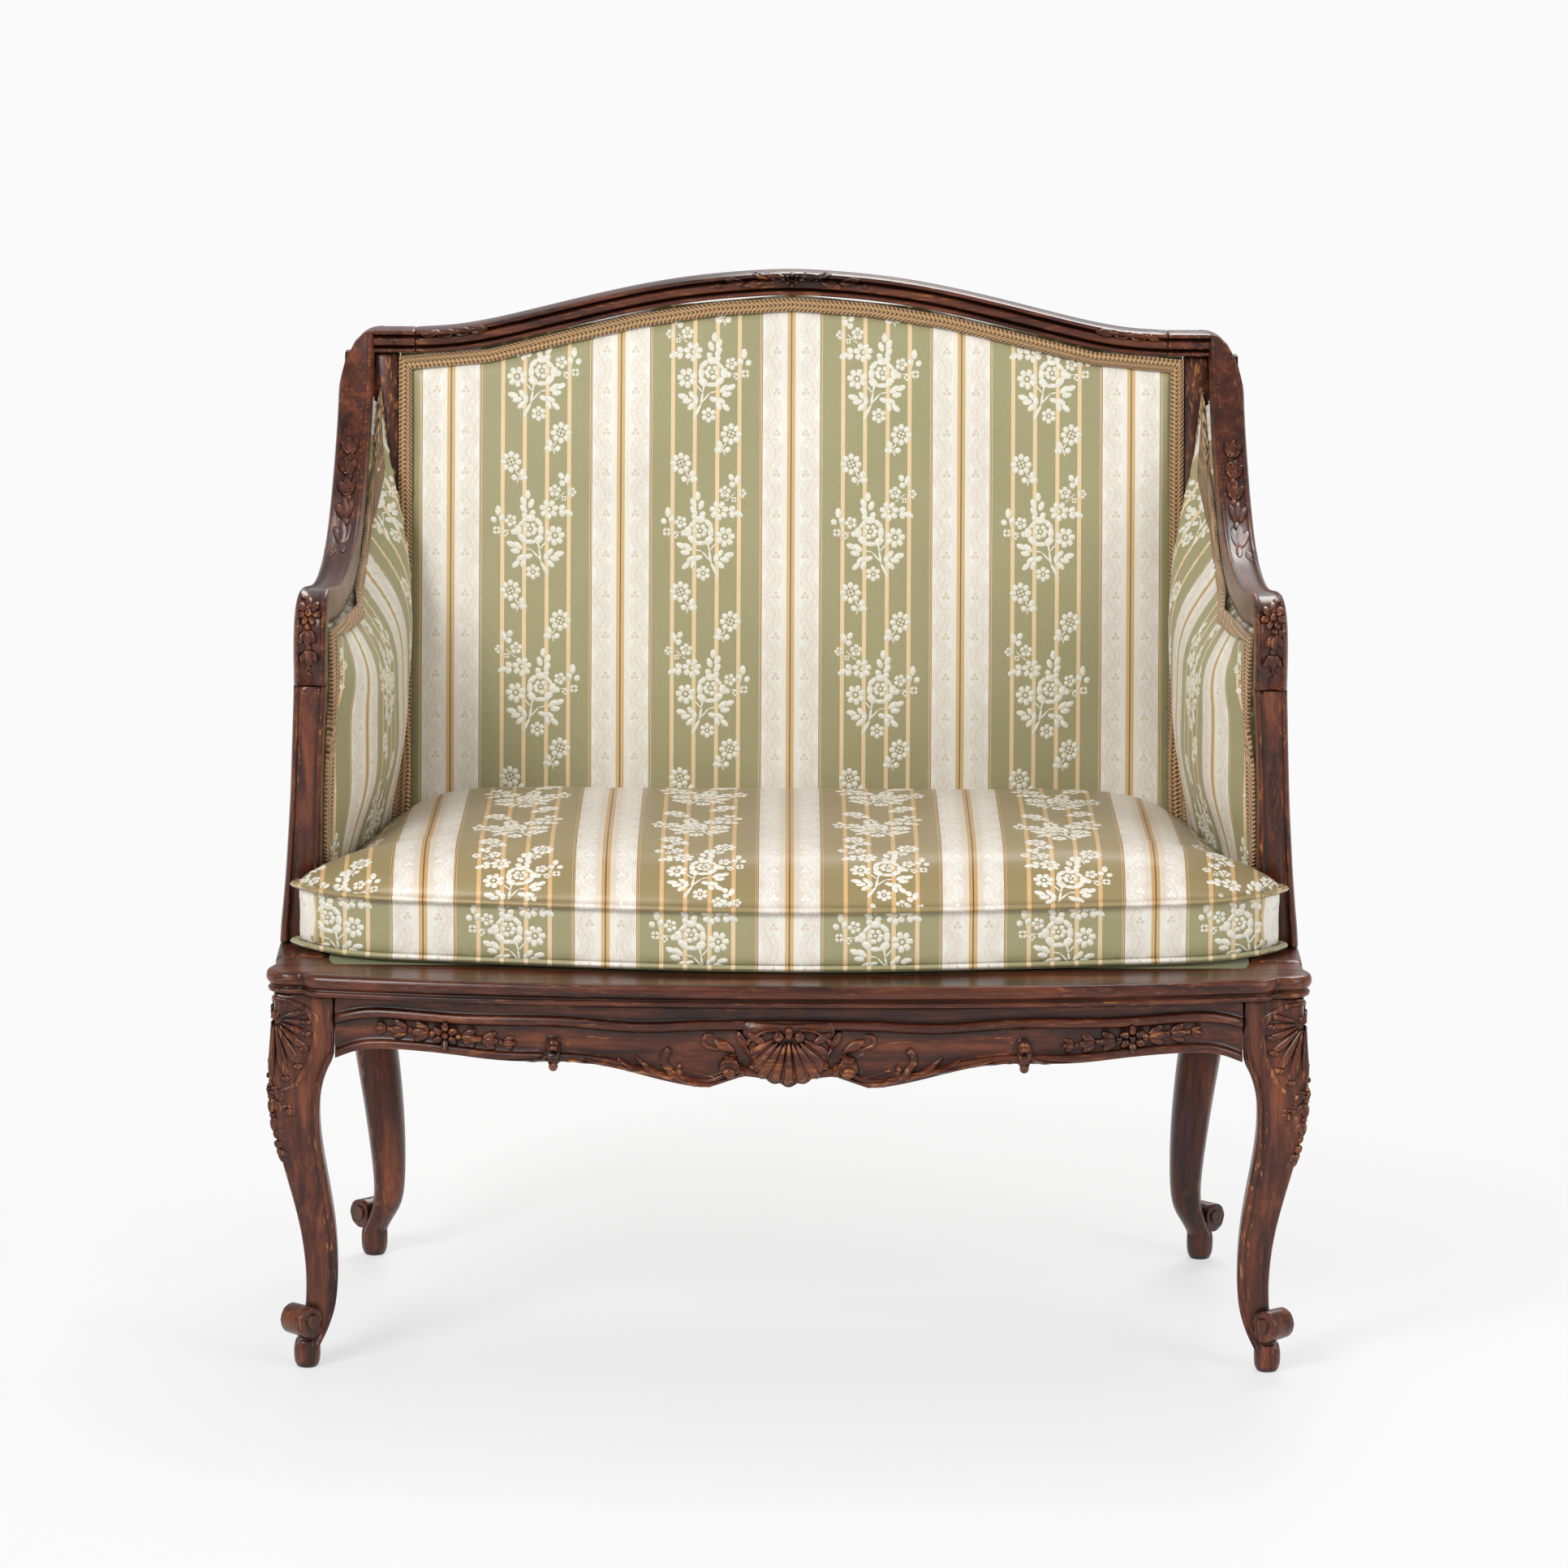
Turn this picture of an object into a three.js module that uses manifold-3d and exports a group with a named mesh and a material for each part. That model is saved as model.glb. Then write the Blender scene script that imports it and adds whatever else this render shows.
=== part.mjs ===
// A wide Louis XV armchair with closed sides, wings that sweep down to the arms, cabriole legs and a loose
// T shaped seat cushion. Millimetres, +X to the sitter's left (the viewer's right), +Y to the back, +Z up.

import * as THREE from 'three';
import { mergeVertices } from 'three/addons/utils/BufferGeometryUtils.js';
import Module from 'manifold-3d';

const wasm = await Module();
wasm.setup();

// Fits
const jointGap = 0.3;
const overrun = 20;

// Seat frame: the moulded board that the legs and rails carry
const earSpan = 1000;
const seatFrameTop = 395;
const seatFrameThickness = 22;
const seatFrameFront = 11.5;
const frontBow = 40;
const earLength = 45;
const frontStraightSpan = earSpan - 2 * earLength;
const earRadius = 25.5;
const seatFrameRear = 545;
const seatFrameBoardWidth = 74;
const rearTaper = 36;
const rearSpan = earSpan - 2 * rearTaper;
const mouldingReach = 6.5;
const sideBow = 12;
const seatFrameUnderside = seatFrameTop - seatFrameThickness;

// Legs
const frontBlock = 60;
const rearBlock = 50;
const rearLegInset = 7;
const rearLegSetback = 9;
const rearBlockOuter = rearSpan / 2 - rearLegInset;
const rearBlockBack = seatFrameRear - rearLegSetback;
const frontPegWidth = 26;
const frontPegHeight = 22;
const rearPegWidth = 27;
const rearPegHeight = 25;
const frontScrollRadius = 17.5;
const frontScrollWidth = 29;
const frontScrollHeight = 47.5;
const rearScrollRadius = 16.5;
const rearScrollWidth = 27;
const rearScrollHeight = 44;
const scrollEyeRadius = 7.5;
const scrollEyeProud = 2.4;

// Rails under the seat frame
const railThickness = 25;
const railSetback = 4;
const frontRailBow = 41.5;
const railFaceStep = 0.5;
const frontRailDrop = 80;
const sideRailDrop = 55;
const rearRailDrop = 52;
const ridgeDrop = 19;
const ridgeHeight = 10.6;
const ridgeProud = 5;
const edgeBeadHeight = 10;
const edgeBeadProud = 4.2;
const shellTopDrop = 17.1;
const shellWidth = 88;
const shellHeight = 62;
const shellProud = 9;
const shellRibProud = 1.6;
const shellRibs = 9;
const voluteRadius = 9.5;
const voluteRise = 11.4;
const voluteSpan = 112;
const knobSpan = 447;
const knobUpperRadius = 7.5;
const knobUpperRise = 17.8;
const knobLowerRadius = 5.2;
const knobLowerDrop = 3.6;
const cornerBlockLeg = 52;
const cornerBlockHeight = 40;

// Back
const crestTop = 1000;
const crestFaceHeight = 25;
const crestDepth = 36;
const crestSpan = 760;
const crestRise = 60;
const stileStep = 17;
const stileWidth = 55;
const stileInner = crestSpan / 2 + stileStep;
const stileOuter = stileInner + stileWidth;
const stileDepth = 28;
const backSetback = 45;
const backFaceAtSeat = seatFrameRear - backSetback;
const backRake = 0.1705;
const crestLean = 105;
const crestSweep = 9;
const crestMiddle = backFaceAtSeat + crestLean;
const crestEndMiddle = crestMiddle - crestSweep;
const lowerRailHeight = 34;
const lowerRailDepth = 20;

// Arm posts
const postBaseWidth = 45;
const postWidth = 31;
const postBaseDepth = 38;
const postDepth = 34;
const postInset = 28.5;
const postLean = 12;
const postFootDepth = 181;
const postRake = 48;
const postFootSide = earSpan / 2 - postInset;
const postHeadSide = postFootSide - postLean;
const postHeadDepth = postFootDepth - postRake;

// Arm rails and the wings that they climb to
const armJointHeight = 655;
const knobWidth = 33;
const knobThickness = 34;
const wingWidth = 35;
const wingThickness = 30;
const wingLineStep = 58.5;
const wingCornerStep = 40;
const wingShoulderStep = 77.5;
const wingTopDrop = 60;
const wingShoulderDrop = 75;
const armTopDrop = 6.7;
const armBackInset = 4;
const wingLine = crestSpan / 2 + wingLineStep;
const wingCornerSide = crestSpan / 2 + wingCornerStep;
const wingShoulderSide = crestSpan / 2 + wingShoulderStep;
const wingTop = crestTop - wingTopDrop;
const wingShoulderHeight = wingTop - wingShoulderDrop;
const armRun = crestEndMiddle - armBackInset - postHeadDepth;
const armClimb = wingTop - armTopDrop - armJointHeight - jointGap;

// Upholstery
const softGap = 0.5;
const braidThickness = 2.5;
const padMargin = 13;
const backPadCrown = 12;
const backPadThickness = 24;
const sidePadCrown = 30;
const sidePadThickness = 16;
const sidePanelInset = 20.5;
const sidePanelStep = 4;
const padRise = 60;
const crestReveal = 3;
const sidePlaneFront = postFootSide - sidePanelInset;
const sidePlaneRear = stileInner + sidePanelStep;
const coverThickness = 2.5;
const deckCoverThickness = 2.6;
const hessianThickness = 1.5;
const webbingWidth = 50;
const webbingThickness = 2.5;
const webbingDrop = 43.1;
const webbingPitch = 150;
const webbingFrontRow = 150;
const webbingRearRow = 400;
const webbingHeight = seatFrameUnderside - webbingDrop;
const hessianRise = 6;
const hessianHeight = seatFrameUnderside + hessianRise;
const deckInset = 12;
const dustCoverThickness = 1.5;
const springWireRadius = 2.2;
const springEndRadius = 32;
const springWaistRadius = 22;
const springTurns = 2.5;

// Seat cushion
const cushionFront = 22;
const cushionEarOverlap = 8.5;
const cushionPostRoom = 13;
const cushionSideRoom = 6.5;
const cushionStileRoom = 7;
const cushionBackRoom = 4;
const cushionEarReach = postFootSide + cushionEarOverlap;
const cushionEarBack = postFootDepth - postBaseDepth / 2 - cushionPostRoom;
const cushionSideFront = postFootSide - postBaseWidth / 2 - cushionSideRoom;
const cushionSideRear = stileInner - cushionStileRoom;
const cushionRear = backFaceAtSeat - cushionBackRoom;
const cushionNotchRadius = 8;
const cushionCornerRadius = 13;
const cushionBandHeight = 64;
const cushionCrown = 42;
const cushionDrawIn = 3;
const cushionPlay = 0.5;
const pipingRadius = 3.1;
const pipingSeat = 2.2;
const pipingInset = 4;

function paint(colour, roughness) {
  return new THREE.MeshStandardMaterial({ color: colour, roughness, metalness: 0 });
}
const carvedWood = paint('#56301f', 0.42);
const plainWood = paint('#6b4329', 0.6);
const stripedSilk = paint('#b9bd93', 0.5);
const goldBraid = paint('#b89566', 0.7);
const linen = paint('#7d7f58', 0.85);
const jute = paint('#a58a5c', 0.9);
const springSteel = paint('#77706a', 0.45);
const blackCotton = paint('#2b2926', 0.9);

const chair = new THREE.Group();

function addPiece(name, geometry, material) {
  const mesh = new THREE.Mesh(geometry, material);
  mesh.name = name;
  chair.add(mesh);
  return mesh;
}

// Small mathematics that every piece shares

const blend = (a, b, t) => a + (b - a) * t;
const clamp = (value, low, high) => Math.min(high, Math.max(low, value));
const smooth = t => {
  const s = clamp(t, 0, 1);
  return s * s * (3 - 2 * s);
};

// A value read from a table of [place, value] rows, with a soft curve between the rows.
function along(table, place) {
  const last = table.length - 1;
  if (place <= table[0][0]) return table[0][1];
  if (place >= table[last][0]) return table[last][1];
  let i = 0;
  while (place > table[i + 1][0]) i += 1;
  const slope = k => {
    const a = table[Math.max(k - 1, 0)];
    const b = table[Math.min(k + 1, last)];
    return (b[1] - a[1]) / (b[0] - a[0]);
  };
  const width = table[i + 1][0] - table[i][0];
  const t = (place - table[i][0]) / width;
  const start = (1 + 2 * t) * (1 - t) ** 2 * table[i][1] + t * (1 - t) ** 2 * width * slope(i);
  const end = t * t * (3 - 2 * t) * table[i + 1][1] + t * t * (t - 1) * width * slope(i + 1);
  return start + end;
}

const scaledTable = (shares, placeSize, valueSize) => shares.map(([p, v]) => [p * placeSize, v * valueSize]);

function spread(low, high, count) {
  return Array.from({ length: count + 1 }, (unused, i) => blend(low, high, i / count));
}

// Solids

function newellNormal(ring) {
  const normal = new THREE.Vector3();
  ring.forEach((p, i) => {
    const q = ring[(i + 1) % ring.length];
    normal.x += (p.y - q.y) * (p.z + q.z);
    normal.y += (p.z - q.z) * (p.x + q.x);
    normal.z += (p.x - q.x) * (p.y + q.y);
  });
  return normal.normalize();
}

// The triangulation leaves out points on a straight side, so the triangle on that side is fanned over them.
function fanSkipped(triangles, count) {
  const used = new Set(triangles.flat());
  const start = triangles[0][0];
  for (let step = 0; step < count; step += 1) {
    const path = [(start + step) % count, (start + step + 1) % count];
    while (!used.has(path.at(-1))) path.push((path.at(-1) + 1) % count);
    if (path.length === 2) continue;
    const [a, b] = [path[0], path.at(-1)];
    const k = triangles.findIndex(triangle => triangle.includes(a) && triangle.includes(b));
    const apex = triangles[k].find(v => v !== a && v !== b);
    const ahead = triangles[k][(triangles[k].indexOf(a) + 1) % 3] === b;
    const fan = path.slice(1).map((v, i) => (ahead ? [path[i], v, apex] : [v, path[i], apex]));
    triangles.splice(k, 1, ...fan);
    step += path.length - 2;
  }
  return triangles;
}

// Triangles that close one ring, wound with the ring or against it.
function capTriangles(ring, offset, withRing) {
  const normal = newellNormal(ring);
  const first = ring[1].clone().sub(ring[0]).normalize();
  const second = normal.clone().cross(first);
  const flat = ring.map(p => new THREE.Vector2(p.dot(first), p.dot(second)));
  const triangles = [];
  const clockwise = THREE.ShapeUtils.area(flat) < 0;
  for (const [a, b, c] of fanSkipped(THREE.ShapeUtils.triangulateShape(flat, []), ring.length)) {
    if (clockwise !== withRing) triangles.push(a + offset, b + offset, c + offset);
    else triangles.push(a + offset, c + offset, b + offset);
  }
  return triangles;
}

function signedVolume(points, triangles) {
  let volume = 0;
  for (let i = 0; i < triangles.length; i += 3) {
    const [a, b, c] = [points[triangles[i]], points[triangles[i + 1]], points[triangles[i + 2]]];
    volume += a.dot(b.clone().cross(c)) / 6;
  }
  return volume;
}

function closedGeometry(points, triangles) {
  const outward = signedVolume(points, triangles) > 0;
  const index = [];
  for (let i = 0; i < triangles.length; i += 3) {
    const [a, b, c] = [triangles[i], triangles[i + 1], triangles[i + 2]];
    if (outward) index.push(a, b, c);
    else index.push(a, c, b);
  }
  const geometry = new THREE.BufferGeometry();
  const numbers = points.flatMap(p => [p.x, p.y, p.z]);
  geometry.setAttribute('position', new THREE.Float32BufferAttribute(numbers, 3));
  geometry.setIndex(index);
  geometry.computeVertexNormals();
  return geometry;
}

// A closed body through a row of rings that all have the same number of points.
function loft(rings, looped = false) {
  const count = rings[0].length;
  const points = rings.flat();
  const triangles = [];
  const spans = looped ? rings.length : rings.length - 1;
  for (let i = 0; i < spans; i += 1) {
    const here = i * count;
    const next = ((i + 1) % rings.length) * count;
    for (let j = 0; j < count; j += 1) {
      const k = (j + 1) % count;
      triangles.push(here + j, here + k, next + k, here + j, next + k, next + j);
    }
  }
  if (!looped) {
    triangles.push(...capTriangles(rings[0], 0, false));
    triangles.push(...capTriangles(rings.at(-1), (rings.length - 1) * count, true));
  }
  return closedGeometry(points, triangles);
}

function toSolid(geometry) {
  const bare = geometry.clone();
  bare.deleteAttribute('normal');
  if (bare.getAttribute('uv')) bare.deleteAttribute('uv');
  const merged = mergeVertices(bare);
  return new wasm.Manifold(new wasm.Mesh({
    numProp: 3,
    vertProperties: new Float32Array(merged.getAttribute('position').array),
    triVerts: new Uint32Array(merged.getIndex().array),
  }));
}

function fromSolid(solid) {
  const mesh = solid.getMesh();
  const geometry = new THREE.BufferGeometry();
  geometry.setAttribute('position', new THREE.BufferAttribute(new Float32Array(mesh.vertProperties), 3));
  geometry.setIndex(new THREE.BufferAttribute(new Uint32Array(mesh.triVerts), 1));
  geometry.computeVertexNormals();
  return geometry;
}

function joined(...geometries) {
  return fromSolid(geometries.map(toSolid).reduce((whole, next) => whole.add(next)));
}

function cutBy(geometry, ...tools) {
  return fromSolid(tools.map(toSolid).reduce((whole, tool) => whole.subtract(tool), toSolid(geometry)));
}

function keptInside(geometry, tool) {
  return fromSolid(toSolid(geometry).intersect(toSolid(tool)));
}

// The same body on the other side of the chair.
function mirrored(geometry) {
  const other = geometry.clone().applyMatrix4(new THREE.Matrix4().makeScale(-1, 1, 1));
  const index = Array.from(other.getIndex().array);
  for (let i = 0; i < index.length; i += 3) [index[i + 1], index[i + 2]] = [index[i + 2], index[i + 1]];
  other.setIndex(index);
  other.computeVertexNormals();
  return other;
}

function addPair(name, geometry, material) {
  addPiece(`${name}_right`, geometry, material);
  addPiece(`${name}_left`, mirrored(geometry), material);
}

// A flat outline given height, standing between two levels.
function slab(outline, low, high) {
  return loft([low, high].map(z => outline.map(([x, y]) => new THREE.Vector3(x, y, z))));
}

// A member swept along a soft path. Each station gives its place, width and depth; the profile is a unit
// shape across the width and out to the show side.
function sweptMember(stations, profile, steps, across, ends = {}) {
  const places = stations.map(s => new THREE.Vector3(...s.at));
  const curve = new THREE.CatmullRomCurve3(places, false, 'centripetal');
  const rings = [];
  for (let i = 0; i <= steps; i += 1) {
    const t = i / steps;
    const place = t * (stations.length - 1);
    const k = Math.min(Math.floor(place), stations.length - 2);
    const point = curve.getPoint(t);
    let tangent = curve.getTangent(t);
    if (i === 0 && ends.first) tangent = ends.first;
    if (i === steps && ends.last) tangent = ends.last;
    const side = across.clone().addScaledVector(tangent, -across.dot(tangent)).normalize();
    const rise = side.clone().cross(tangent).normalize();
    const width = blend(stations[k].width, stations[k + 1].width, place - k);
    const depth = blend(stations[k].depth, stations[k + 1].depth, place - k);
    rings.push(profile.map(([u, v]) => point.clone()
      .addScaledVector(side, u * width / 2).addScaledVector(rise, v * depth / 2)));
  }
  return { geometry: loft(rings), rings, curve };
}

// Plan lines that many pieces follow

const bowPower = 2.3;
const earSetbackShare = 1.49;
const legReachShare = 0.72;

function frontLine(x) {
  const share = Math.min(1, Math.abs(x) / (frontStraightSpan / 2));
  return seatFrameFront - frontBow * (1 - share ** bowPower);
}

const earCentreX = earSpan / 2 - earRadius;
const earCentreY = seatFrameFront + earSetbackShare * earRadius;
const legDiagonal = earCentreX + earCentreY;
const rearDiagonal = rearBlockOuter - rearBlockBack;
const frontBlockOuter = earCentreX + legReachShare * earRadius;
const frontBlockInner = frontBlockOuter - frontBlock;
const frontBlockFace = legDiagonal - frontBlockOuter;
const rearBlockInner = rearBlockOuter - rearBlock;
const rearBlockFace = rearBlockBack - rearBlock;
const backFace = z => backFaceAtSeat + (z - seatFrameTop) * backRake;

// Cabriole legs

// Rows give the height as a share of the leg, then the inner and the outer face as shares of the block's
// width, both measured outwards from the block's inner face.
const frontLegShares = [
  [0.056, 0.30, 0.70],
  [0.085, 0.20, 0.64],
  [0.115, 0.12, 0.59],
  [0.155, 0.04, 0.54],
  [0.205, 0.00, 0.525],
  [0.268, -0.01, 0.535],
  [0.360, 0.01, 0.60],
  [0.456, 0.085, 0.735],
  [0.550, 0.18, 0.885],
  [0.650, 0.255, 1.025],
  [0.740, 0.235, 1.065],
  [0.790, 0.15, 1.060],
  [0.816, 0.075, 1.050],
  [0.836, 0.00, 1.040],
  [0.875, 0.00, 1.015],
  [0.930, 0.00, 1.000],
  [1.000, 0.00, 1.000],
];
const rearLegShares = [
  [0.062, 0.06, 0.54],
  [0.095, -0.06, 0.44],
  [0.150, -0.30, 0.30],
  [0.210, -0.37, 0.26],
  [0.330, -0.38, 0.37],
  [0.450, -0.33, 0.50],
  [0.560, -0.24, 0.65],
  [0.700, -0.10, 0.82],
  [0.830, 0.00, 0.96],
  [0.900, 0.00, 1.00],
  [1.000, 0.00, 1.00],
];

// Half of the leg's section, from the inner corner to the outer one; the other half mirrors it across the
// diagonal. The two small rises beside the inner faces are the bead that edges the leg.
const frontLegHalfShares = [
  [-0.93, -0.93], [-0.94, 0.56], [-1.0, 0.74], [-0.97, 0.94], [-0.8, 1.0], [-0.68, 0.92], [0.0, 0.98],
  [0.66, 0.95],
];
const rearLegHalfShares = [
  [-0.72, -0.72], [-0.95, -0.3], [-1.0, 0.2], [-0.9, 0.75], [-0.45, 0.98], [0.2, 1.0], [0.66, 0.9],
];
const frontLegCornerShare = 0.88;
const rearLegCornerShare = 0.86;

function wholeSection(half, cornerShare) {
  const mirror = half.slice(1).reverse().map(([a, b]) => [b, a]);
  return [...half, [cornerShare, cornerShare], ...mirror];
}

function legRings(shares, half, cornerShare, blockInner, block, lineOfCentres, front) {
  const section = wholeSection(half, cornerShare);
  return shares.map(([heightShare, innerShare, outerShare]) => {
    const z = heightShare * (seatFrameUnderside - jointGap);
    const inner = blockInner + innerShare * block;
    const outer = blockInner + outerShare * block;
    const centre = (inner + outer) / 2;
    const halfWidth = (outer - inner) / 2;
    return section.map(([a, b]) => new THREE.Vector3(
      centre + a * halfWidth, lineOfCentres(centre) - front * b * halfWidth, z));
  });
}

// The scroll that ends a leg: a roll across the leg's diagonal with a spiral edge and an eye at each end.
function scrollFoot(centreX, centreY, height, radius, width, front) {
  const outward = new THREE.Vector3(1, -front, 0).normalize();
  const upward = new THREE.Vector3(0, 0, 1);
  const rollAxis = outward.clone().cross(upward);
  const spiralSteps = 15;
  const spiralStartShare = -0.375;
  const spiralTurnShare = 0.93;
  const shrinkShare = 0.28;
  const eyeSides = 10;
  const shape = new THREE.Shape();
  for (let i = 0; i <= spiralSteps; i += 1) {
    const t = i / spiralSteps;
    const angle = (spiralStartShare + t * spiralTurnShare) * 2 * Math.PI;
    const reach = radius * (1 - shrinkShare * t);
    if (i === 0) shape.moveTo(Math.cos(angle) * reach, Math.sin(angle) * reach);
    else shape.lineTo(Math.cos(angle) * reach, Math.sin(angle) * reach);
  }
  const place = new THREE.Matrix4().makeBasis(outward, upward, rollAxis);
  const roll = new THREE.ExtrudeGeometry(shape, { depth: width, bevelEnabled: false })
    .translate(0, 0, -width / 2).applyMatrix4(place).translate(centreX, centreY, height);
  const eyeLength = width + 2 * scrollEyeProud;
  const eye = new THREE.CylinderGeometry(scrollEyeRadius, scrollEyeRadius, eyeLength, eyeSides)
    .rotateX(Math.PI / 2).applyMatrix4(place).translate(centreX, centreY, height);
  return [roll, eye];
}

function pegFoot(centreX, centreY, width, height) {
  const sides = 8;
  const radius = width / 2 / Math.cos(Math.PI / sides);
  const neckShare = 0.84;
  const toeShare = 0.74;
  const chamferShare = 0.22;
  const chamfer = height * chamferShare;
  const profile = [
    [0, 0], [radius * toeShare, 0], [radius, chamfer], [radius, height - chamfer / 2],
    [radius * neckShare, height + chamfer], [0, height + chamfer],
  ];
  return rightWay(new THREE.LatheGeometry(profile.map(([r, z]) => new THREE.Vector2(r, z)), sides)
    .rotateX(Math.PI / 2).rotateZ(Math.PI / sides).translate(centreX, centreY, 0));
}

// The same body with its faces turned outwards.
function rightWay(geometry) {
  const index = Array.from(geometry.getIndex().array);
  const position = geometry.getAttribute('position');
  const points = Array.from({ length: position.count }, () => new THREE.Vector3());
  points.forEach((point, i) => point.fromBufferAttribute(position, i));
  return closedGeometry(points, index);
}

// Places of the peg and the scroll under each leg, as shares of the block's width
const frontPegShare = 0.5;
const frontScrollShare = 0.575;
const rearPegShare = 0.29;
const rearScrollShare = 0.4;

function makeFrontLeg() {
  const diagonalY = x => legDiagonal - x;
  const rings = legRings(
    frontLegShares, frontLegHalfShares, frontLegCornerShare, frontBlockInner, frontBlock, diagonalY, 1);
  const pegX = frontBlockInner + frontPegShare * frontBlock;
  const scrollX = frontBlockInner + frontScrollShare * frontBlock;
  const scroll = scrollFoot(
    scrollX, diagonalY(scrollX), frontScrollHeight, frontScrollRadius, frontScrollWidth, 1);
  return joined(loft(rings), ...scroll, pegFoot(pegX, diagonalY(pegX), frontPegWidth, frontPegHeight));
}

function makeRearLeg() {
  const diagonalY = x => x - rearDiagonal;
  const rings = legRings(
    rearLegShares, rearLegHalfShares, rearLegCornerShare, rearBlockInner, rearBlock, diagonalY, -1);
  const pegX = rearBlockInner + rearPegShare * rearBlock;
  const scrollX = rearBlockInner + rearScrollShare * rearBlock;
  const scroll = scrollFoot(
    scrollX, diagonalY(scrollX), rearScrollHeight, rearScrollRadius, rearScrollWidth, -1);
  return joined(loft(rings), ...scroll, pegFoot(pegX, diagonalY(pegX), rearPegWidth, rearPegHeight));
}

addPair('front_leg', makeFrontLeg(), carvedWood);
addPair('rear_leg', makeRearLeg(), carvedWood);

// Rails under the seat frame

// Rows give the place from the middle as a share of the half span between the legs, then a drop as a share
// of the rail's full drop: first the lower edge, then the raised ridge.
const frontEdgeShares = [
  [0.000, 0.950], [0.097, 0.850], [0.130, 0.880], [0.170, 1.000], [0.199, 1.000], [0.289, 0.905],
  [0.365, 0.797], [0.453, 0.711], [0.495, 0.722], [0.546, 0.721], [0.631, 0.734], [0.733, 0.670],
  [0.878, 0.629], [0.950, 0.655], [1.000, 0.780],
];
const frontRidgeShares = [
  [0.000, 0.95], [0.200, 1.03], [0.335, 1.18], [0.495, 0.92], [0.735, 1.00], [0.880, 0.80],
  [0.960, 0.93], [1.000, 1.25],
];
const frontRailStationShares = [
  0, 0.05, 0.097, 0.13, 0.17, 0.2, 0.245, 0.29, 0.35, 0.41, 0.47, 0.55, 0.64, 0.73, 0.82, 0.9, 0.95, 1,
];
const sideEdgeShares = [
  [0.00, 1.00], [0.06, 0.86], [0.16, 0.80], [0.34, 0.93], [0.50, 1.02], [0.66, 0.93], [0.86, 0.78],
  [0.95, 0.84], [1.00, 0.95],
];

// Rows give how far a moulding stands proud as a share of its reach, then the level as a share of its half
// height for the ridge, or of its height for the edge bead, all from the top down.
const ridgeProfileShares = [[0.7, 0.75], [1.0, 0.0], [0.6, -0.75], [-0.1, -1.0]];
const edgeBeadProfileShares = [[0.75, 0.82], [1.0, 0.45], [0.6, 0.1], [-0.4, 0.0]];

// One upright section of a rail: frieze, raised ridge, sunk panel and edge bead, then the plain back. The
// profile runs in steps outwards from the face and downwards from the top.
function railSection(drop, ridge) {
  const ridgeHalf = ridgeHeight / 2;
  const top = seatFrameUnderside - jointGap;
  const low = top - drop;
  const ridgeLevel = top - ridge;
  const ridgeShape = ridgeProfileShares.map(([out, up]) => [out * ridgeProud, ridgeLevel + up * ridgeHalf]);
  const bead = edgeBeadProfileShares.map(([out, up]) => [out * edgeBeadProud, low + up * edgeBeadHeight]);
  const sunk = ridgeShape.at(-1)[0];
  return [
    [0, top], [0, ridgeLevel + ridgeHalf], ...ridgeShape, [sunk, low + edgeBeadHeight], ...bead,
    [-railThickness, low], [-railThickness, top],
  ];
}

// A half round knob on the rail's face.
function faceBall(x, y, z, radius) {
  const sides = 8;
  const bands = 5;
  return new THREE.SphereGeometry(radius, sides, bands).rotateX(Math.PI / 2).translate(x, y, z);
}

// The scallop shell: ribs that spread from its hinge to a lobed rim, domed, with its back sunk in the rail.
const shellSamples = 3;
const shellRows = 4;

// One ray of the shell, by its share of the fan: the points from the hinge out, and the rim's point behind.
function shellRay(face, top, share) {
  const startShare = 0.465;
  const turnShare = 0.57;
  const lobeShare = 0.07;
  const edgeShare = 0.35;
  const hingeShare = 0.55;
  const hangShare = 0.14;
  const angle = (startShare + share * turnShare) * 2 * Math.PI;
  const lobe = Math.abs(Math.sin(share * shellRibs * Math.PI));
  const reach = 1 - lobeShare * (1 - lobe);
  const side = Math.cos(angle) * shellWidth / 2 * reach;
  const down = (Math.sin(angle) * (1 - hangShare) * reach - hangShare) * shellHeight;
  const ray = spread(1 / shellRows, 1, shellRows - 1).map(r => {
    const round = Math.sqrt(1 - (r * reach) ** 2);
    const dome = shellProud * blend(edgeShare, 1, round) * Math.min(1, hingeShare + r);
    const rib = shellRibProud * (2 * lobe - 1) * r;
    return new THREE.Vector3(side * r, face - dome - rib, top + down * r);
  });
  return { ray, rim: new THREE.Vector3(side, face + railThickness / 3, top + down) };
}

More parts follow.
